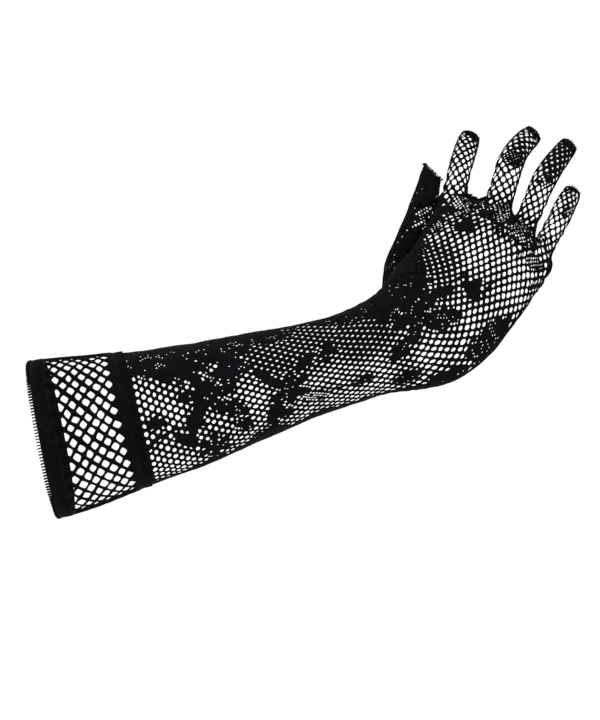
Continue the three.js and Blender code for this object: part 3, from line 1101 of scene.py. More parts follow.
def cells(first, last, low, high):
    """Column and row of the middle of every cell of a stretch of the lattice."""
    column, row = np.meshgrid(np.arange(first, last + 1), np.arange(low, high + 1), indexing="ij")
    column, row = column.ravel().astype(float), row.ravel().astype(float)
    even = (column + row) % 2 == 0
    return column[even], row[even]


def corners_of(column, row):
    return np.stack([
        knot(column + 1, row),
        knot(column, row + 1),
        knot(column - 1, row),
        knot(column, row - 1),
    ], 1)


# Places along each edge of a cell. How much its hole varies in size, by chance and over how many
# millimetres. Then the holes in quarters of a cell: their size in the finer net and elsewhere, how it
# varies, and the share of quarters that have none in each kind of knit.
SEGMENTS = 4
HOLE_VARIETY = 0.045
HOLE_WAVE = 30
MESH_HOLE = 0.7
PINHOLE = 0.4
PINHOLE_SIZES = (0.8, 0.35)
UNPIERCED = np.array([0, 0.08, 0.5, 0.96])


def knit(lace, column, row, face, motifs, openness, closed, seed, roundness=FINE_ROUNDNESS):
    """Adds cells to a piece: open ones, closed ones, and the others in quarters as the pattern asks."""
    side = np.full(column.shape, face)
    corners = corners_of(column, row)
    chance = np.random.default_rng(seed).normal(0, 1, column.shape)
    slow = waves(column * KNIT_WIDTH, row * KNIT_LENGTH, seed, HOLE_WAVE)
    opening = openness * (1 + HOLE_VARIETY * (chance + slow))
    stretch = np.ones((len(column), 2))
    if motifs:
        opening = opening * (1 - closeness(column, row, motifs))
        stretch = np.stack([HOLE_STRETCH.smooth("across", row), HOLE_STRETCH.smooth("along", row)], -1)
    centre, hole = hole_ring(corners, SEGMENTS, opening, roundness, stretch)
    hole, clear = trim_to_pattern(centre, hole, motifs)
    is_open = clear & ~closed
    outer = ring_of(corners, SEGMENTS)
    lace.pierced(outer[is_open], hole[is_open], side[is_open])
    lace.filled(outer[closed], corners.mean(1, keepdims=True)[closed], side[closed])
    quarters = split(corners)
    kind = stitch_kind(*quarters.mean(1).T, motifs)
    luck = np.random.default_rng(seed + 100).random(len(quarters))
    size = np.where(kind <= MESH, MESH_HOLE, PINHOLE) * (PINHOLE_SIZES[0] + PINHOLE_SIZES[1] * luck)
    middle, pinhole = hole_ring(quarters, SEGMENTS // 2, size, roundness, np.tile(stretch, (4, 1)))
    outer, side = ring_of(quarters, SEGMENTS // 2), np.tile(side, 4)
    is_mixed = np.tile(~is_open & ~closed, 4)
    is_filled = luck < UNPIERCED[kind]
    pierced, filled = is_mixed & ~is_filled, is_mixed & is_filled
    lace.pierced(outer[pierced], pinhole[pierced], side[pierced])
    lace.filled(outer[filled], middle[filled], side[filled])


# Node trees

def node_group(name, kind, inputs, outputs):
    """A node group with inputs listed as (name, kind, default) and outputs as (name, kind)."""
    group = bpy.data.node_groups.new(name, kind)
    for label, socket_kind, default in inputs:
        socket = group.interface.new_socket(label, in_out="INPUT", socket_type="NodeSocket" + socket_kind)
        if default is not None:
            socket.default_value = default
    for label, socket_kind in outputs:
        group.interface.new_socket(label, in_out="OUTPUT", socket_type="NodeSocket" + socket_kind)
    return group, group.nodes.new("NodeGroupInput").outputs, group.nodes.new("NodeGroupOutput").inputs


def geometry_tree(name, sizes):
    """A tree that works on a drawn net or path, with its sizes and its material as inputs."""
    inputs = [("Geometry", "Geometry", None), *sizes, ("Material", "Material", None)]
    return node_group(name, "GeometryNodeTree", inputs, [("Geometry", "Geometry")])


def add_node(group, node_type, inputs=None, **settings):
    """Adds a node, sets it up and gives each input its value or joins it to its source socket."""
    node = group.nodes.new(node_type)
    for key, value in settings.items():
        setattr(node, key, value)
    for key, value in (inputs or {}).items():
        if isinstance(value, bpy.types.NodeSocket):
            group.links.new(value, node.inputs[key])
        else:
            node.inputs[key].default_value = value
    return node


def wire(group, node_type, inputs=None, out=0, **settings):
    """Adds a node and returns one of the sockets that come out of it."""
    return add_node(group, node_type, inputs, **settings).outputs[out]


def maths(group, operation, *values):
    return wire(group, "ShaderNodeMath", dict(enumerate(values)), operation=operation)


def joined(group, *parts):
    join = group.nodes.new("GeometryNodeJoinGeometry")
    for part in parts:
        group.links.new(part, join.inputs[0])
    return join.outputs[0]


def close_tree(group, given, end, geometry):
    """Ends a tree with smooth shading, real instances and its material."""
    smooth = wire(group, "GeometryNodeSetShadeSmooth", {"Geometry": geometry})
    real = wire(group, "GeometryNodeRealizeInstances", {"Geometry": smooth})
    finish = wire(group, "GeometryNodeSetMaterial", {"Geometry": real, "Material": given["Material"]})
    group.links.new(finish, end[0])


def yarn_tree():
    """Turns the drawn net into rounded yarn: thick in the middle and thin along every hole."""
    group, given, end = geometry_tree("Round Yarn", [
        ("Half Thickness", "Float", 0.00035),
        ("Joining Distance", "Float", 0.00002),
        ("Closing Distance", "Float", 1e-6),
    ])
    net = wire(group, "GeometryNodeMergeByDistance", {
        "Geometry": given["Geometry"], "Distance": given["Joining Distance"],
    })
    faces_beside = wire(group, "GeometryNodeInputMeshEdgeNeighbors")
    rim = wire(group, "FunctionNodeCompare", {2: faces_beside, 3: 1}, data_type="INT", operation="EQUAL")
    on_rim = wire(group, "GeometryNodeFieldOnDomain", {0: rim}, data_type="BOOLEAN", domain="EDGE")
    half = wire(group, "GeometryNodeSwitch", {
        "Switch": on_rim, "False": given["Half Thickness"], "True": 0.0,
    }, input_type="FLOAT")
    normal = wire(group, "GeometryNodeInputNormal")
    shells = []
    for way in (1, -1):
        offset = wire(group, "ShaderNodeVectorMath", {
            0: normal, "Scale": maths(group, "MULTIPLY", half, way),
        }, operation="SCALE")
        shells.append(wire(group, "GeometryNodeSetPosition", {"Geometry": net, "Offset": offset}))
    outer, inner = shells
    both = joined(group, wire(group, "GeometryNodeFlipFaces", {"Mesh": inner}), outer)
    closed = wire(group, "GeometryNodeMergeByDistance", {
        "Geometry": both, "Distance": given["Closing Distance"],
    })
    close_tree(group, given, end, closed)
    return group


def turned_along(group, rotation, axis, pivot, name):
    """Turns instances so that an axis follows a direction stored on the path."""
    way = wire(group, "GeometryNodeInputNamedAttribute", {"Name": name}, data_type="FLOAT_VECTOR")
    inputs = {"Vector": way} if rotation is None else {"Vector": way, "Rotation": rotation}
    return wire(group, "FunctionNodeAlignRotationToVector", inputs, axis=axis, pivot_axis=pivot)


def upright(group):
    """Instances run along the glove with X and stand out of it with Y."""
    lying = turned_along(group, None, "X", "AUTO", "along")
    return turned_along(group, lying, "Y", "X", "outward")


def random_value(group, low, high, seed):
    return wire(group, "FunctionNodeRandomValue", {2: low, 3: high, "Seed": seed}, out=1, data_type="FLOAT")


def set_along(group, given, shape, rotation):
    """Sets copies of a shape evenly along the path, each a little smaller by chance."""
    path = wire(group, "GeometryNodeMeshToCurve", {"Mesh": given["Geometry"]})
    places = wire(group, "GeometryNodeResampleCurve", {"Curve": path, "Count": given["Count"]})
    smallest = maths(group, "SUBTRACT", 1.0, given["Unevenness"])
    return wire(group, "GeometryNodeInstanceOnPoints", {
        "Points": places, "Instance": shape, "Rotation": rotation,
        "Scale": random_value(group, smallest, 1.0, given["Seed"]),
    })


def stitch_tree():
    """Rings of thread that wrap an edge one after another."""
    group, given, end = geometry_tree("Overlock Stitches", [
        ("Count", "Int", 100),
        ("Reach", "Float", 0.0024),
        ("Depth", "Float", 0.0024),
        ("Thread Radius", "Float", 0.0004),
        ("Lean", "Float", 0.3),
        ("Unevenness", "Float", 0.15),
        ("Seed", "Int", 3),
    ])
    circle = wire(group, "GeometryNodeCurvePrimitiveCircle", {"Resolution": 12, "Radius": 0.5})
    size = wire(group, "ShaderNodeCombineXYZ", {"X": given["Reach"], "Y": given["Depth"], "Z": 1.0})
    loop = wire(group, "GeometryNodeTransform", {"Geometry": circle, "Scale": size})
    thread = wire(group, "GeometryNodeCurvePrimitiveCircle", {
        "Resolution": 6, "Radius": given["Thread Radius"],
    })
    ring = wire(group, "GeometryNodeCurveToMesh", {"Curve": loop, "Profile Curve": thread})
    least = maths(group, "SUBTRACT", 0.0, given["Unevenness"])
    wobble = random_value(group, least, given["Unevenness"], given["Seed"])
    lean = maths(group, "ADD", given["Lean"], wobble)
    turn = wire(group, "ShaderNodeCombineXYZ", {"X": 0.0, "Y": lean, "Z": 0.0})
    swing = wire(group, "FunctionNodeEulerToRotation", {"Euler": turn})
    leaning = wire(group, "FunctionNodeRotateRotation", {
        "Rotation": upright(group), "Rotate By": swing,
    }, rotation_space="LOCAL")
    close_tree(group, given, end, set_along(group, given, ring, leaning))
    return group


def rib_tree():
    """Long plump stitches side by side, as in a close-knit band."""
    group, given, end = geometry_tree("Knitted Ribs", [
        ("Count", "Int", 180),
        ("Length", "Float", 0.007),
        ("Width", "Float", 0.0014),
        ("Height", "Float", 0.0008),
        ("Unevenness", "Float", 0.12),
        ("Seed", "Int", 5),
    ])
    bead = wire(group, "GeometryNodeMeshUVSphere", {"Segments": 6, "Rings": 8, "Radius": 0.5})
    laid = wire(group, "GeometryNodeTransform", {"Geometry": bead, "Rotation": (0.0, math.pi / 2, 0.0)})
    size = wire(group, "ShaderNodeCombineXYZ", {
        "X": given["Length"], "Y": given["Height"], "Z": given["Width"],
    })
    rib = wire(group, "GeometryNodeTransform", {"Geometry": laid, "Scale": size})
    close_tree(group, given, end, set_along(group, given, rib, upright(group)))
    return group


def ready_tree(name, make):
    return bpy.data.node_groups.get(name) or make()


# Making a piece of the glove

def mesh_object(name, points, faces, edges=()):
    mesh = bpy.data.meshes.new(name)
    mesh.from_pydata((points * MM).tolist(), list(edges), faces)
    piece = bpy.data.objects.new(name, mesh)
    bpy.context.scene.collection.objects.link(piece)
    return piece


def vector_attribute(mesh, name, values):
    attribute = mesh.attributes.new(name, "FLOAT_VECTOR", "POINT")
    attribute.data.foreach_set("vector", np.asarray(values, np.float32).ravel())


def path_object(name, points, along, outward, is_ring):
    """A path that knows at each point which way is along the glove and which way is out of it."""
    count = len(points)
    edges = [(i, (i + 1) % count) for i in range(count if is_ring else count - 1)]
    path = mesh_object(name, points, [], edges)
    for label, way in (("along", along), ("outward", outward)):
        vector_attribute(path.data, label, np.broadcast_to(way, points.shape))
    return path


def run_tree(piece, group, values):
    """Works a tree on a piece and keeps the result as plain faces."""
    modifier = piece.modifiers.new(group.name, "NODES")
    modifier.node_group = group
    for item in group.interface.items_tree:
        if item.item_type == "SOCKET" and item.in_out == "INPUT" and item.name in values:
            modifier[item.identifier] = values[item.name]
    graph = bpy.context.evaluated_depsgraph_get()
    made = bpy.data.meshes.new_from_object(
        piece.evaluated_get(graph), preserve_all_data_layers=True, depsgraph=graph
    )
    piece.modifiers.clear()
    drawn = piece.data
    piece.data = made
    made.name = piece.name
    bpy.data.meshes.remove(drawn)
    if not made.polygons:
        raise RuntimeError(f"{piece.name} came out empty")
    return piece


def overlock(path, count, reach, depth, lean, unevenness, seed):
    """Wraps a path in stitches, whose reach and depth are given in millimetres."""
    return run_tree(path, ready_tree("Overlock Stitches", stitch_tree), {
        "Count": count,
        "Reach": reach * MM,
        "Depth": depth * MM,
        "Thread Radius": bpy.context.scene.glove_cuff.thread_radius,
        "Lean": lean,
        "Unevenness": unevenness,
        "Seed": seed,
        "Material": bpy.data.materials["Overlock Thread"],
    })


def join_pieces(name, first, other):
    """Adds the other mesh to the first one and names the result."""
    combined = bmesh.new()
    for piece in (first, other):
        combined.from_mesh(piece.data)
    combined.to_mesh(first.data)
    combined.free()
    bpy.data.objects.remove(other)
    first.name = name
    return first


def dress(piece, node):
    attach(piece, BODY)
    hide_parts(node)


# Faces below this many square millimetres are left out, and points this many decimals alike are one point.
SMALLEST_FACE = 0.002
SAME_DECIMALS = 3


def real_faces(points, faces):
    """Leaves out faces that the side joins flatten to nothing."""
    shape = points[faces]
    area = np.zeros(len(faces))
    for k in range(1, faces.shape[1] - 1):
        fan = np.cross(shape[:, k] - shape[:, 0], shape[:, k + 1] - shape[:, 0])
        area += np.linalg.norm(fan, axis=1) / 2
    return faces[area > SMALLEST_FACE]


def raise_edges(points, fabric, groups):
    """Splits the faces that join free edges, so that the thickening has a point to raise between them.

    A face is cut into a fan round its middle where all its points lie on free edges, or where one of its
    inner sides does. Such an inner side, called tight here, is halved as well.
    """
    _, same = np.unique(np.round(points, SAME_DECIMALS), axis=0, return_inverse=True)
    same = same.ravel()
    sides = [np.sort(np.stack([same[faces], same[np.roll(faces, -1, 1)]], -1), -1) for faces in groups]
    keys = np.concatenate([side.reshape(-1, 2) for side in sides])
    edges, order, uses = np.unique(keys, axis=0, return_inverse=True, return_counts=True)
    whole = edges[:, 0] != edges[:, 1]
    free = np.zeros(same.max() + 1, bool)
    free[edges[whole & (uses == 1)]] = True
    all_tight = (whole & (uses > 1) & free[edges].all(1))[order.ravel()]
    ends = np.cumsum([faces.size for faces in groups])[:-1]
    made = []
    for faces, side, tight in zip(groups, sides, np.split(all_tight, ends)):
        tight = tight.reshape(faces.shape)
        cut = free[same[faces]].all(1) | tight.any(1)
        made.append(faces[~cut])
        faces, side, tight = faces[cut], side[cut], tight[cut]
        after = np.roll(faces, -1, 1)
        middle = np.repeat(np.arange(len(faces))[:, None] + len(points), faces.shape[1], 1)
        points = np.concatenate([points, points[faces].mean(1)])
        fabric = np.concatenate([fabric, fabric[faces].mean(1)])
        plain = ~tight & (side[..., 0] != side[..., 1])
        made.append(np.stack([faces, after, middle], -1)[plain])
        first, last, middle = faces[tight], after[tight], middle[tight]
        halfway = np.arange(len(first)) + len(points)
        points = np.concatenate([points, (points[first] + points[last]) / 2])
        fabric = np.concatenate([fabric, (fabric[first] + fabric[last]) / 2])
        made += [np.stack([first, halfway, middle], -1), np.stack([halfway, last, middle], -1)]
    return points, fabric, made


def lay_lace(node, lace, place, thickness, keep=None):
    """Lays a knitted piece on the glove's shape, thickens it and puts it in place of its node."""
    column, row = np.concatenate(lace.places).T
    side = np.concatenate(lace.sides)
    points = place(column, row, side)
    groups = [real_faces(points, faces) for faces in lace.faces if len(faces)]
    if keep is not None:
        groups = [faces[keep(points[faces].mean(1))] for faces in groups]
    fabric = np.stack([column * KNIT_WIDTH, row * KNIT_LENGTH, side * 1.0], -1)
    points, fabric, groups = raise_edges(points, fabric, groups)
    faces = [face for group in groups for face in group.tolist()]
    piece = mesh_object(node + "_lace", points, faces)
    vector_attribute(piece.data, "fabric", fabric)
    run_tree(piece, ready_tree("Round Yarn", yarn_tree), {
        "Half Thickness": thickness / 2,
        "Material": bpy.data.materials["Lace Yarn"],
    })
    dress(piece, node)


# Materials

def noise(group, vector, scale, detail):
    return wire(group, "ShaderNodeTexNoise", {"Vector": vector, "Scale": scale, "Detail": detail})


def spread(group, value, low, high, to_low, to_high):
    """Maps one range of values onto another."""
    return wire(group, "ShaderNodeMapRange", {
        "Value": value, "From Min": low, "From Max": high, "To Min": to_low, "To Max": to_high,
    })


def mix_colours(group, share, first, second):
    return wire(group, "ShaderNodeMix", {0: share, 6: first, 7: second}, out=2, data_type="RGBA")


def yarn_shade_group():
    """Slow changes of dye and fuzz over the yarn."""
    group, given, end = node_group("Yarn Shade", "ShaderNodeTree", [
        ("Vector", "Vector", None),
        ("Dark", "Color", (0.01, 0.01, 0.01, 1)),
        ("Light", "Color", (0.02, 0.02, 0.02, 1)),
        ("Patch Size", "Float", 14.0),
        ("Fuzz Size", "Float", 2.2),
        ("Smoothest", "Float", 0.72),
        ("Roughest", "Float", 0.95),
    ], [("Color", "Color"), ("Roughness", "Float")])
    patches = noise(group, given["Vector"], maths(group, "DIVIDE", 1.0, given["Patch Size"]), 3.0)
    fuzz = noise(group, given["Vector"], given["Fuzz Size"], 2.0)
    share = spread(group, maths(group, "ADD", patches, fuzz), 0.75, 1.25, 0.0, 1.0)
    rough = spread(group, fuzz, 0.3, 0.7, given["Smoothest"], given["Roughest"])
    group.links.new(mix_colours(group, share, given["Dark"], given["Light"]), end["Color"])
    group.links.new(rough, end["Roughness"])


def knit_relief_group():
    """Columns of small slanting stitches, as knitted yarn shows close up, and a mask of where painted shade
    falls between them.
    """
    group, given, end = node_group("Knit Relief", "ShaderNodeTree", [
        ("Vector", "Vector", None),
        ("Stitch Width", "Float", 0.8),
        ("Stitch Length", "Float", 0.9),
        ("Slant", "Float", 0.35),
        ("Fuzz", "Float", 0.35),
    ], [("Height", "Float"), ("Valley", "Float")])
    axes = add_node(group, "ShaderNodeSeparateXYZ", {"Vector": given["Vector"]}).outputs
    across = maths(group, "DIVIDE", axes["X"], given["Stitch Width"])
    ridge = maths(group, "PINGPONG", across, 1.0)
    slant = maths(group, "MULTIPLY", ridge, given["Slant"])
    along = maths(group, "DIVIDE", axes["Y"], given["Stitch Length"])
    turn = maths(group, "MULTIPLY", maths(group, "ADD", along, slant), 2 * math.pi)
    stitch = spread(group, maths(group, "SINE", turn), -1.0, 1.0, 0.0, 0.6)
    hump = maths(group, "MULTIPLY_ADD", ridge, 0.4, stitch)
    fuzz = noise(group, given["Vector"], 3.5, 3.0)
    height = maths(group, "MULTIPLY_ADD", fuzz, given["Fuzz"], hump)
    group.links.new(height, end["Height"])
    # Painted shade mask: 1 where the relief is low, in the valleys between stitches, and 0 on the stitches'
    # tops
    group.links.new(spread(group, height, 0.2, 0.75, 1.0, 0.0), end["Valley"])


def new_material(name):
    """A material, its node tree and the inputs of its shader."""
    material = bpy.data.materials.new(name)
    material.use_nodes = True
    return material, material.node_tree, material.node_tree.nodes["Principled BSDF"].inputs


# What the yarns share: how dark the painted shade in the valleys between stitches is, how strong the relief
# is, and the gloss
PAINTED_VALLEY_SHADE = 0.45
RELIEF_STRENGTH = 0.6
YARN_GLOSS = 0.03
SHEEN_ROUGHNESS = 0.45
SHEEN_TINT = (0.75, 0.82, 0.95, 1)


def yarn_material(name, colour, lift, on_net, stitch, depth, sheen, roughness):
    """Near-black yarn: matt, with a faint sheen, stitches in relief that follow the net or the object, and
    painted shade in the valleys between stitches.
    """
    _, group, shader = new_material(name)
    if on_net:
        place = wire(group, "ShaderNodeAttribute", out="Vector", attribute_name="fabric")
    else:
        metres = wire(group, "ShaderNodeTexCoord", out="Object")
        place = wire(group, "ShaderNodeVectorMath", {0: metres, "Scale": 1 / MM}, operation="SCALE")
    shade = add_node(group, "ShaderNodeGroup", node_tree=bpy.data.node_groups["Yarn Shade"])
    relief = add_node(group, "ShaderNodeGroup", node_tree=bpy.data.node_groups["Knit Relief"])
    for node in (shade, relief):
        group.links.new(place, node.inputs["Vector"])
    shade.inputs["Dark"].default_value = (*colour, 1)
    shade.inputs["Light"].default_value = (*(lift * c for c in colour), 1)
    shade.inputs["Smoothest"].default_value, shade.inputs["Roughest"].default_value = roughness
    relief.inputs["Stitch Width"].default_value, relief.inputs["Stitch Length"].default_value = stitch
    # Painted shade: the yarn's colour is darkened towards this in the valleys between stitches
    painted_shade_colour = (*(PAINTED_VALLEY_SHADE * c for c in colour), 1)
    with_painted_shade = mix_colours(group, relief.outputs["Valley"], shade.outputs["Color"], painted_shade_colour)
    bump = wire(group, "ShaderNodeBump", {
        "Height": relief.outputs["Height"], "Strength": RELIEF_STRENGTH, "Distance": depth * MM,
    })
    group.links.new(with_painted_shade, shader["Base Color"])
    group.links.new(shade.outputs["Roughness"], shader["Roughness"])
    group.links.new(bump, shader["Normal"])
    shader["Specular IOR Level"].default_value = YARN_GLOSS
    shader["Sheen Weight"].default_value = sheen
    shader["Sheen Roughness"].default_value = SHEEN_ROUGHNESS
    shader["Sheen Tint"].default_value = SHEEN_TINT


def sweep_material():
    """Pale paper with a barely seen mottle."""
    material, group, shader = new_material("Pale Sweep")
    mottle = noise(group, wire(group, "ShaderNodeTexCoord", out="Object"), 6.0, 4.0)
    shade = mix_colours(group, mottle, (0.93, 0.93, 0.935, 1), (0.95, 0.95, 0.955, 1))
    group.links.new(shade, shader["Base Color"])
    shader["Roughness"].default_value = 0.9
    shader["Specular IOR Level"].default_value = 0.1
    return material


# What a user can change

def length_property(name, description, default, least, most):
    return bpy.props.FloatProperty(
        name=name, description=description, default=default, min=least, max=most,
        precision=5, subtype="DISTANCE", unit="LENGTH",
    )


def openness_property(name, description, default):
    return bpy.props.FloatProperty(
        name=name, description=description, default=default, min=0.3, max=0.95, subtype="FACTOR",
    )


def count_property(name, description, default):
    return bpy.props.IntProperty(name=name, description=description, default=default, min=24, max=400)


def colour_property(name, description, default):
    return bpy.props.FloatVectorProperty(
        name=name, description=description, default=default, min=0, max=1, size=3, subtype="COLOR",
    )


class GloveLaceSettings(bpy.types.PropertyGroup):
    yarn_thickness: length_property(
        "Yarn thickness", "How thick the lace is from front to back", 0.0007, 0.0002, 0.002
    )
    sleeve_openness: openness_property(
        "Sleeve openness", "Size of the sleeve's holes against their cells", 0.69
    )
    hand_openness: openness_property(
        "Hand openness", "Size of the hand's holes against their cells", 0.725
    )
    finger_openness: openness_property(
        "Finger openness", "Size of the fingers' holes against their cells", 0.76
    )
    lace_colour: colour_property("Lace colour", "Colour of the lace yarn", (0.0022, 0.0024, 0.0030))


class GloveCuffSettings(bpy.types.PropertyGroup):
    rib_count: count_property("Ribs", "Number of ribs round each dense band", 186)
    rib_height: length_property("Rib height", "How far the ribs stand out of their band", 0.0009, 0, 0.003)
    net_openness: openness_property("Cuff net openness", "Size of the coarse holes against their cells", 0.73)
    net_thickness: length_property("Cuff net thickness", "How thick the coarse net is", 0.0013, 0.0004, 0.003)
    stitch_count: count_property("Edge stitches", "Overlock stitches round the arm opening", 160)
    thread_radius: length_property("Thread radius", "Radius of the overlock thread", 0.00046, 0.0001, 0.002)
    band_colour: colour_property("Band colour", "Colour of the dense knit bands", (0.0020, 0.0021, 0.0026))
    thread_colour: colour_property("Thread colour", "Colour of the overlock thread", (0.0028, 0.0029, 0.0034))


class GloveStageSettings(bpy.types.PropertyGroup):
    floor_below: length_property("Floor below", "How far under the glove the floor lies", 0.22, 0, 2)
    daylight: bpy.props.FloatProperty(
        name="Daylight", description="Strength of the even light from all round",
        default=1.0, min=0, max=5, subtype="FACTOR",
    )
    lamp_power: bpy.props.FloatProperty(
        name="Lamp power", description="Power of the large soft lamps",
        default=6.0, min=0, max=200, unit="POWER",
    )


# The steps of making the glove

class GLOVE_OT_finishes(bpy.types.Operator):
    """Mix the yarn and thread materials"""

    bl_idname = "glove.finishes"
    bl_label = "Mix Yarns"

    def execute(self, context):
        lace, cuff = context.scene.glove_lace, context.scene.glove_cuff
        yarn_shade_group()
        knit_relief_group()
        yarn_material(
            "Lace Yarn", lace.lace_colour, lift=2.2, on_net=True,
            stitch=(0.62, 0.8), depth=0.22, sheen=0.006, roughness=(0.78, 0.96),
        )
        yarn_material(
            "Dense Knit", cuff.band_colour, lift=2.4, on_net=False,
            stitch=(0.7, 0.8), depth=0.3, sheen=0.006, roughness=(0.72, 0.92),
        )
        yarn_material(
            "Overlock Thread", cuff.thread_colour, lift=2.4, on_net=False,
            stitch=(0.3, 0.35), depth=0.1, sheen=0.008, roughness=(0.6, 0.85),
        )
        return {"FINISHED"}


# Points round a ring, and the waves of a ring's path: how many go round, their share and their start
AROUND = 384
RING_WAVES = ((5, 1, 1), (11, 0.6, 0))


def ring_points(station, inset):
    """Points all round the glove at a distance along it."""
    share = np.linspace(0, 1, AROUND // 2 + 1)
    at = np.full(len(share), float(station))
    back = body_tube.point(at, share, BACK, inset)
    palm = body_tube.point(at, share, PALM, inset)[::-1]
    return np.concatenate([back[:-1], palm[:-1]])


def ring_path(name, station, inset, wave=0.0):
    """A closed path round the glove, with a slow wave along it."""
    ring = ring_points(station, inset)
    centre, along, _, _ = body_tube.section(np.array([float(station)]))
    turn = np.arange(AROUND) / AROUND * 2 * np.pi
    waver = sum(share * np.sin(times * turn + start) for times, share, start in RING_WAVES)
    ring = ring + along * (wave * waver)[:, None]
    tangent = np.roll(ring, -1, 0) - np.roll(ring, 1, 0)
    outward = np.cross(tangent, along)
    outward /= np.linalg.norm(outward, axis=1, keepdims=True)
    outward *= np.sign(((ring - centre) * outward).sum(1, keepdims=True))
    return path_object(name, ring, along, outward, is_ring=True)


def band(name, profile, material):
    """A closed knitted band round the glove; profile lists stations and insets."""
    rings = [ring_points(station, inset) for station, inset in profile]
    n, m = len(rings[0]), len(rings)
    i, k = np.meshgrid(np.arange(n), np.arange(m), indexing="ij")
    next_i, next_k = (i + 1) % n, (k + 1) % m
    faces = np.stack([k * n + i, k * n + next_i, next_k * n + next_i, next_k * n + i], -1).reshape(-1, 4)
    piece = mesh_object(name, np.concatenate(rings), faces.tolist())
    piece.data.materials.append(bpy.data.materials[material])
    piece.data.polygons.foreach_set("use_smooth", [True] * len(piece.data.polygons))
    made = bmesh.new()
    made.from_mesh(piece.data)
    bmesh.ops.recalc_face_normals(made, faces=made.faces)
    made.to_mesh(piece.data)
    made.free()
    return piece


# Millimetres of the dense bands: rounding of their edges, width and overhang of their ribs, and how deep
# the plain cloth lies under the ribs' tops
BAND_ROUNDING = 0.5
RIB_WIDTH = 1.5
RIB_CLEARANCE = 0.1
UNDER_RIBS = 0.35
RIB_DEPTH = 0.4


def ribbed_band(node, start, end, wall, seed):
    settings = bpy.context.scene.glove_cuff
    soft = BAND_ROUNDING
    plain = band(node + "_body", [
        (start, soft + UNDER_RIBS),
        (start + soft, UNDER_RIBS),
        (end - soft, UNDER_RIBS),
        (end, soft + UNDER_RIBS),
        (end, wall - soft),
        (end - soft, wall),
        (start + soft, wall),
        (start, wall - soft),
    ], "Dense Knit")
    ribs = ring_path(node + "_ribs", (start + end) / 2, RIB_DEPTH)
    run_tree(ribs, ready_tree("Knitted Ribs", rib_tree), {
        "Count": settings.rib_count,
        "Length": (end - start - RIB_CLEARANCE) * MM,
        "Width": RIB_WIDTH * MM,
        "Height": settings.rib_height,
        "Seed": seed,
        "Material": bpy.data.materials["Dense Knit"],
    })
    dress(join_pieces(node + "_knit", plain, ribs), node)


class GLOVE_OT_bands(bpy.types.Operator):
    """Knit the dense hem and the joining band of the cuff"""

    bl_idname = "glove.bands"
    bl_label = "Knit Cuff Bands"

    def execute(self, context):
        ribbed_band("cuff_hem", EDGING_LENGTH, HEM_END, wall=1.7, seed=5)
        ribbed_band("cuff_joining_band", NET_END, JOINING_BAND_END, wall=1.4, seed=6)
        return {"FINISHED"}


# Section of the edging's core: distance along the glove and depth under the cloth's surface
EDGING_CORE = ((1.5, 0.9), (1.8, 0.5), (2.6, 0.35), (2.6, 1.6), (1.8, 1.6), (1.5, 1.3))
EDGING_STITCHES_AT = 0.95
EDGING_WAVE = 0.1


class GLOVE_OT_edging(bpy.types.Operator):
    """Overlock the arm opening"""

    bl_idname = "glove.edging"
    bl_label = "Overlock Arm Opening"

    def execute(self, context):
        core = band("cuff_edging_core", EDGING_CORE, "Overlock Thread")
        edge = ring_path("cuff_edging_stitches", EDGING_STITCHES_AT, EDGING_STITCHES_AT, EDGING_WAVE)
        stitches = context.scene.glove_cuff.stitch_count
        overlock(edge, stitches, reach=2.4, depth=0.9, lean=0.05, unevenness=0.1, seed=3)
        dress(join_pieces("cuff_edging_overlock", core, edge), "cuff_edging")
        return {"FINISHED"}


# The coarse net: its depth under the solids' surface, the size of half a cell, how many rows it reaches
# under the bands, and the rows of its palm side, which slips under them
COARSE_DEPTH = 0.75
COARSE_CELL = 4.0
COARSE_OVERLAP = 0.25
COARSE_PALM_ROWS = (-2, COARSE_ROWS + 3)


def coarse_body_place(column, row, side, depth=COARSE_DEPTH):
    share = np.clip(column / COARSE_AROUND, 0, 1)
    station = HEM_END + (NET_END - HEM_END) * row / (COARSE_ROWS + 1)
    return body_tube.point(station, share, side, depth + np.zeros(column.shape))


coarse_slip = Slip(coarse_body_place, COARSE_AROUND, COARSE_PALM_ROWS, (1, -1))


def coarse_place(column, row, side):
    """A place of the coarse net, whose first and last rows reach a little under the bands."""
    by_column, by_row = coarse_slip(column, row)
    share = away_from_edges(column, 0, COARSE_AROUND, SLIP_FADE) * (side == PALM)
    column, row = column + by_column * share, row + by_row * share
    depth = COARSE_DEPTH + hills(column * COARSE_CELL, row * COARSE_CELL, *COARSE_HILLS)
    row = np.clip(row, -COARSE_OVERLAP, COARSE_ROWS + 1 + COARSE_OVERLAP)
    return coarse_body_place(column, row, side, depth)


class GLOVE_OT_cuff_net(bpy.types.Operator):
    """Knit the coarse net of the cuff"""

    bl_idname = "glove.cuff_net"
    bl_label = "Knit Cuff Net"

    def execute(self, context):
        settings = context.scene.glove_cuff
        lace = Lace()
        for side, first, last in ((BACK, 0, COARSE_ROWS + 1), (PALM, *COARSE_PALM_ROWS)):
            column, row = cells(0, COARSE_AROUND, first, last)
            closed = (side == BACK) & ((row == first) | (row == last))
            knit(
                lace, column, row, side, (), settings.net_openness, closed,
                seed=41, roundness=COARSE_ROUNDNESS,
            )
        lay_lace("cuff_net", lace, coarse_place, settings.net_thickness)
        return {"FINISHED"}


# How many columns of solid stitches run along each side
SIDE_STRIPES = Rows("at thumb_side other_side", [
    (0, 7, 2),
    (8, 6, 3),
    (14, 5, 6),
    (30, 5, 7),
    (42, 5, 5),
    (56, 5, 4),
    (64, 4, 2),
    (70, 3, 1),
    (87, 2, 1),
])


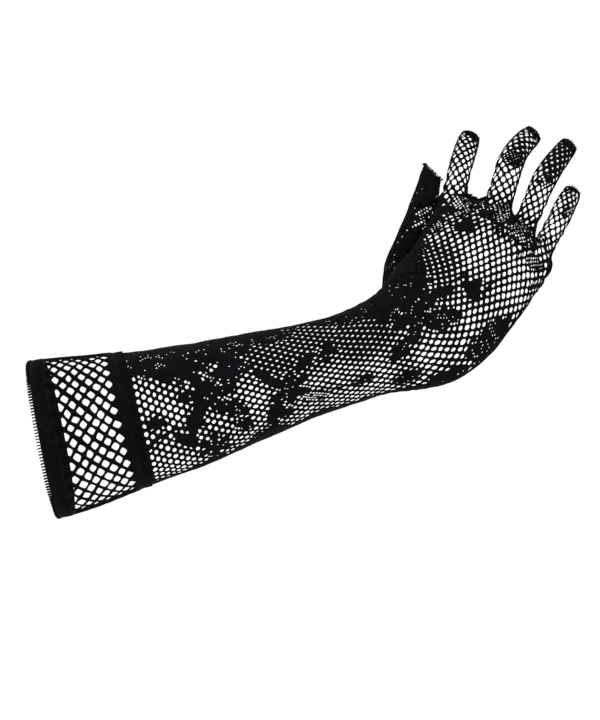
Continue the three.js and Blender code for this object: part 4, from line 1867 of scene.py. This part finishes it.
def in_stripe(column, row):
    """Cells of the solid stripes that run along both sides."""
    low = first_column(body_station(column, row))
    near_thumb = column - low < SIDE_STRIPES.straight("thumb_side", row)
    near_other = SLEEVE_COLUMNS - column < SIDE_STRIPES.straight("other_side", row)
    return near_thumb | near_other


def knit_both_sides(column, row, motifs, share_open, closed, seed):
    """The same cells on the back and on the palm."""
    lace = Lace()
    for side in (BACK, PALM):
        knit(lace, column, row, side, motifs, share_open, closed, seed)
    return lace


class GLOVE_OT_sleeve(bpy.types.Operator):
    """Knit the lace sleeve"""

    bl_idname = "glove.sleeve"
    bl_label = "Knit Sleeve"

    def execute(self, context):
        settings = context.scene.glove_lace
        column, row = cells(0, SLEEVE_COLUMNS, FIRST_SLEEVE_ROW, WRIST_ROW - 1)
        closed = in_stripe(column, row) | (row < 1)
        lace = knit_both_sides(column, row, MOTIFS, settings.sleeve_openness, closed, seed=42)
        lay_lace("sleeve", lace, sleeve_place, settings.yarn_thickness)
        return {"FINISHED"}


# How far the hand's net and the thumb's reach into each other, in millimetres, and the rows of the thumb
# between which it stops to be drawn over
THUMB_OVERLAP = 1.2
THUMB_DRAWN_ROWS = (1, 4)


def clear_of(tube):
    """Keeps the faces that lie outside another tube, or only just inside it."""
    return lambda middle: tube.outside(middle, tube.nearest(middle)) > -THUMB_OVERLAP


class GLOVE_OT_hand(bpy.types.Operator):
    """Knit the palm and the back of the hand"""

    bl_idname = "glove.hand"
    bl_label = "Knit Hand"

    def execute(self, context):
        settings = context.scene.glove_lace
        column, row = cells(0, SLEEVE_COLUMNS, WRIST_ROW, CROTCH_ROW)
        closed = in_stripe(column, row)
        lace = knit_both_sides(column, row, MOTIFS, settings.hand_openness, closed, seed=43)
        lay_lace("hand", lace, worn_hand_place, settings.yarn_thickness, clear_of(stalls["thumb"]))
        return {"FINISHED"}


# Solid columns along the sides of each stall, and solid rows at its tip
STALL_STRIPE = 1
TIP_ROWS = {"index": 1, "middle": 1, "ring": 2, "little": 1, "thumb": 3}


def stall_lace(name, first, first_row, last_row, motifs, seed):
    """The cells of a stall, solid along its sides and over its tip."""
    column, row = cells(first, first + STALL_COLUMNS, first_row, last_row)
    within = column - first
    closed = np.minimum(within, STALL_COLUMNS - within) < STALL_STRIPE
    closed |= row > last_row - TIP_ROWS[name]
    share_open = bpy.context.scene.glove_lace.finger_openness
    return knit_both_sides(column, row, motifs, share_open, closed, seed)


class GLOVE_OT_fingers(bpy.types.Operator):
    """Knit the four finger stalls"""

    bl_idname = "glove.fingers"
    bl_label = "Knit Fingers"

    def execute(self, context):
        settings = context.scene.glove_lace
        for seed, (name, first) in enumerate(ROOT_COLUMNS.items(), 50):
            last_row = CROTCH_ROW + stall_rows(name)
            lace = stall_lace(name, first, CROTCH_ROW + 1, last_row, MOTIFS, seed)
            place = partial(worn_hand_place, finger=name)
            lay_lace(name + "_finger", lace, place, settings.yarn_thickness)
        return {"FINISHED"}


def thumb_place(column, row, side):
    column, row = line_up_stall("thumb", column, row, side)
    depth = THUMB_DEPTH + hills(column * KNIT_WIDTH, row * KNIT_LENGTH, *THUMB_HILLS)
    place = stall_place("thumb", 0, column, row, side, depth)
    return draw_over(place, depth, 1 - smoothstep(*THUMB_DRAWN_ROWS, row))


class GLOVE_OT_thumb(bpy.types.Operator):
    """Knit the thumb stall"""

    bl_idname = "glove.thumb"
    bl_label = "Knit Thumb"

    def execute(self, context):
        settings = context.scene.glove_lace
        lace = stall_lace("thumb", 0, FIRST_STALL_ROW, stall_rows("thumb"), THUMB_MOTIFS, seed=61)
        lay_lace("thumb", lace, thumb_place, settings.yarn_thickness, clear_of(body_tube))
        return {"FINISHED"}


# Stitches across each fingertip, and where their path runs
TIP_STITCHES = {"index": 9, "middle": 9, "ring": 8, "little": 7, "thumb": 13}
TIP_PATH_POINTS = 17
TIP_PATH_MARGIN = 0.6
TIP_PATH_BEYOND = 0.25


class GLOVE_OT_tip_seams(bpy.types.Operator):
    """Overlock the closed end of each stall"""

    bl_idname = "glove.tip_seams"
    bl_label = "Overlock Fingertips"

    def execute(self, context):
        for seed, (name, stitches) in enumerate(TIP_STITCHES.items(), 70):
            stall = stalls[name]
            across_tip = np.linspace(-1, 1, TIP_PATH_POINTS)
            centre, along, across, _ = stall.section(np.array([stall.tip]))
            width = stall.size(np.array([stall.tip]))[0][0]
            rounding = TIP_ROUNDING * (name in FINGERS)
            path = centre + across * (across_tip * (width / 2 - TIP_PATH_MARGIN))[:, None]
            path = path + along * (TIP_PATH_BEYOND - rounding * across_tip ** 2)[:, None]
            outward = np.cross(across[0], along[0])
            seam = path_object(name + "_tip_stitches", path, along, outward, is_ring=False)
            overlock(seam, stitches, reach=2.6, depth=1.8, lean=0.4, unevenness=0.3, seed=seed)
            dress(seam, name + "_tip_seam")
        return {"FINISHED"}


# The stage, in metres: how far back and up the sweep goes, its curve, and half its width
STAGE_BACK = 2.4
STAGE_CURVE = 0.6
STAGE_HALF = 3.5
CURVE_STEPS = 12

# Soft lamps: place, point aimed at and width in metres, and share of the lamp power
LAMPS = {
    "lamp_left": ((-0.5, -0.9, 0.9), (0.16, 0, 0.05), 0.9, 1.0),
    "lamp_right": ((0.9, -0.8, 0.7), (0.16, 0, 0.05), 0.9, 0.7),
    "lamp_back": ((0.2, 0.3, 1.2), (0.16, 0.6, 0.0), 1.0, 0.8),
}


def stand_object(name, data, place, turn):
    stand = bpy.data.objects.new(name, data)
    stand.location = place
    stand.rotation_euler = turn
    bpy.context.scene.collection.objects.link(stand)
    return stand


def lamp(name, place, aim, size, power):
    light = bpy.data.lights.new(name, "AREA")
    light.shape = "SQUARE"
    light.size = size
    light.energy = power
    turn = (Vector(aim) - Vector(place)).to_track_quat("-Z", "Y").to_euler()
    stand_object(name, light, place, turn)


def pale_sweep(floor):
    """Paper that runs back along the floor and curves up behind the glove."""
    profile = [(-STAGE_HALF, floor)]
    for k in range(CURVE_STEPS + 1):
        turn = math.radians(90 * k / CURVE_STEPS)
        back = STAGE_BACK - STAGE_CURVE * (1 - math.sin(turn))
        profile.append((back, floor + STAGE_CURVE * (1 - math.cos(turn))))
    profile.append((STAGE_BACK, floor + STAGE_HALF))
    points = np.array([(x, y, z) for y, z in profile for x in (-STAGE_HALF, STAGE_HALF)]) / MM
    faces = [(2 * i, 2 * i + 1, 2 * i + 3, 2 * i + 2) for i in range(len(profile) - 1)]
    sweep = mesh_object("sweep", points, faces)
    sweep.data.polygons.foreach_set("use_smooth", [True] * len(faces))
    sweep.data.materials.append(sweep_material())


class GLOVE_OT_stage(bpy.types.Operator):
    """Set up the pale sweep, the soft lamps and the camera"""

    bl_idname = "glove.stage"
    bl_label = "Set Up Stage"

    def execute(self, context):
        scene, settings = context.scene, context.scene.glove_stage
        view = bpy.data.cameras.new("camera")
        view.lens = LENS
        view.clip_start = 0.01
        scene.camera = stand_object("camera", view, (EYE * MM).tolist(), (math.pi / 2, 0, 0))
        pale_sweep(CAD_BOX[0][2] - settings.floor_below)
        for name, (place, aim, size, share) in LAMPS.items():
            lamp(name, place, aim, size, settings.lamp_power * share)
        scene.world = bpy.data.worlds.new("daylight")
        scene.world.use_nodes = True
        sky = scene.world.node_tree.nodes["Background"].inputs
        sky["Color"].default_value = (1, 1, 1, 1)
        sky["Strength"].default_value = settings.daylight
        scene.view_settings.view_transform = "Standard"
        return {"FINISHED"}


OPERATORS = (
    GLOVE_OT_stage,
    GLOVE_OT_finishes,
    GLOVE_OT_bands,
    GLOVE_OT_edging,
    GLOVE_OT_cuff_net,
    GLOVE_OT_sleeve,
    GLOVE_OT_hand,
    GLOVE_OT_fingers,
    GLOVE_OT_thumb,
    GLOVE_OT_tip_seams,
)
SETTINGS = {
    "glove_lace": GloveLaceSettings,
    "glove_cuff": GloveCuffSettings,
    "glove_stage": GloveStageSettings,
}


class GLOVE_PT_glove(bpy.types.Panel):
    """Everything that makes the glove, in the order of making"""

    bl_label = "Fishnet Glove"
    bl_space_type = "VIEW_3D"
    bl_region_type = "UI"
    bl_category = "Glove"

    def draw(self, context):
        for operator in OPERATORS:
            self.layout.operator(operator.bl_idname)
        for label, settings in SETTINGS.items():
            box = self.layout.box()
            group = getattr(context.scene, label)
            for key in settings.__annotations__:
                box.prop(group, key)


def register():
    for kind in (*SETTINGS.values(), *OPERATORS, GLOVE_PT_glove):
        bpy.utils.register_class(kind)
    for label, settings in SETTINGS.items():
        setattr(bpy.types.Scene, label, bpy.props.PointerProperty(type=settings))


def unregister():
    for label in SETTINGS:
        delattr(bpy.types.Scene, label)
    for kind in reversed((*SETTINGS.values(), *OPERATORS, GLOVE_PT_glove)):
        bpy.utils.unregister_class(kind)


def main():
    register()
    bpy.ops.glove.stage()
    bpy.ops.glove.finishes()
    bpy.ops.glove.bands()
    bpy.ops.glove.edging()
    bpy.ops.glove.cuff_net()
    bpy.ops.glove.sleeve()
    bpy.ops.glove.hand()
    bpy.ops.glove.fingers()
    bpy.ops.glove.thumb()
    bpy.ops.glove.tip_seams()


if __name__ == "__main__":
    main()
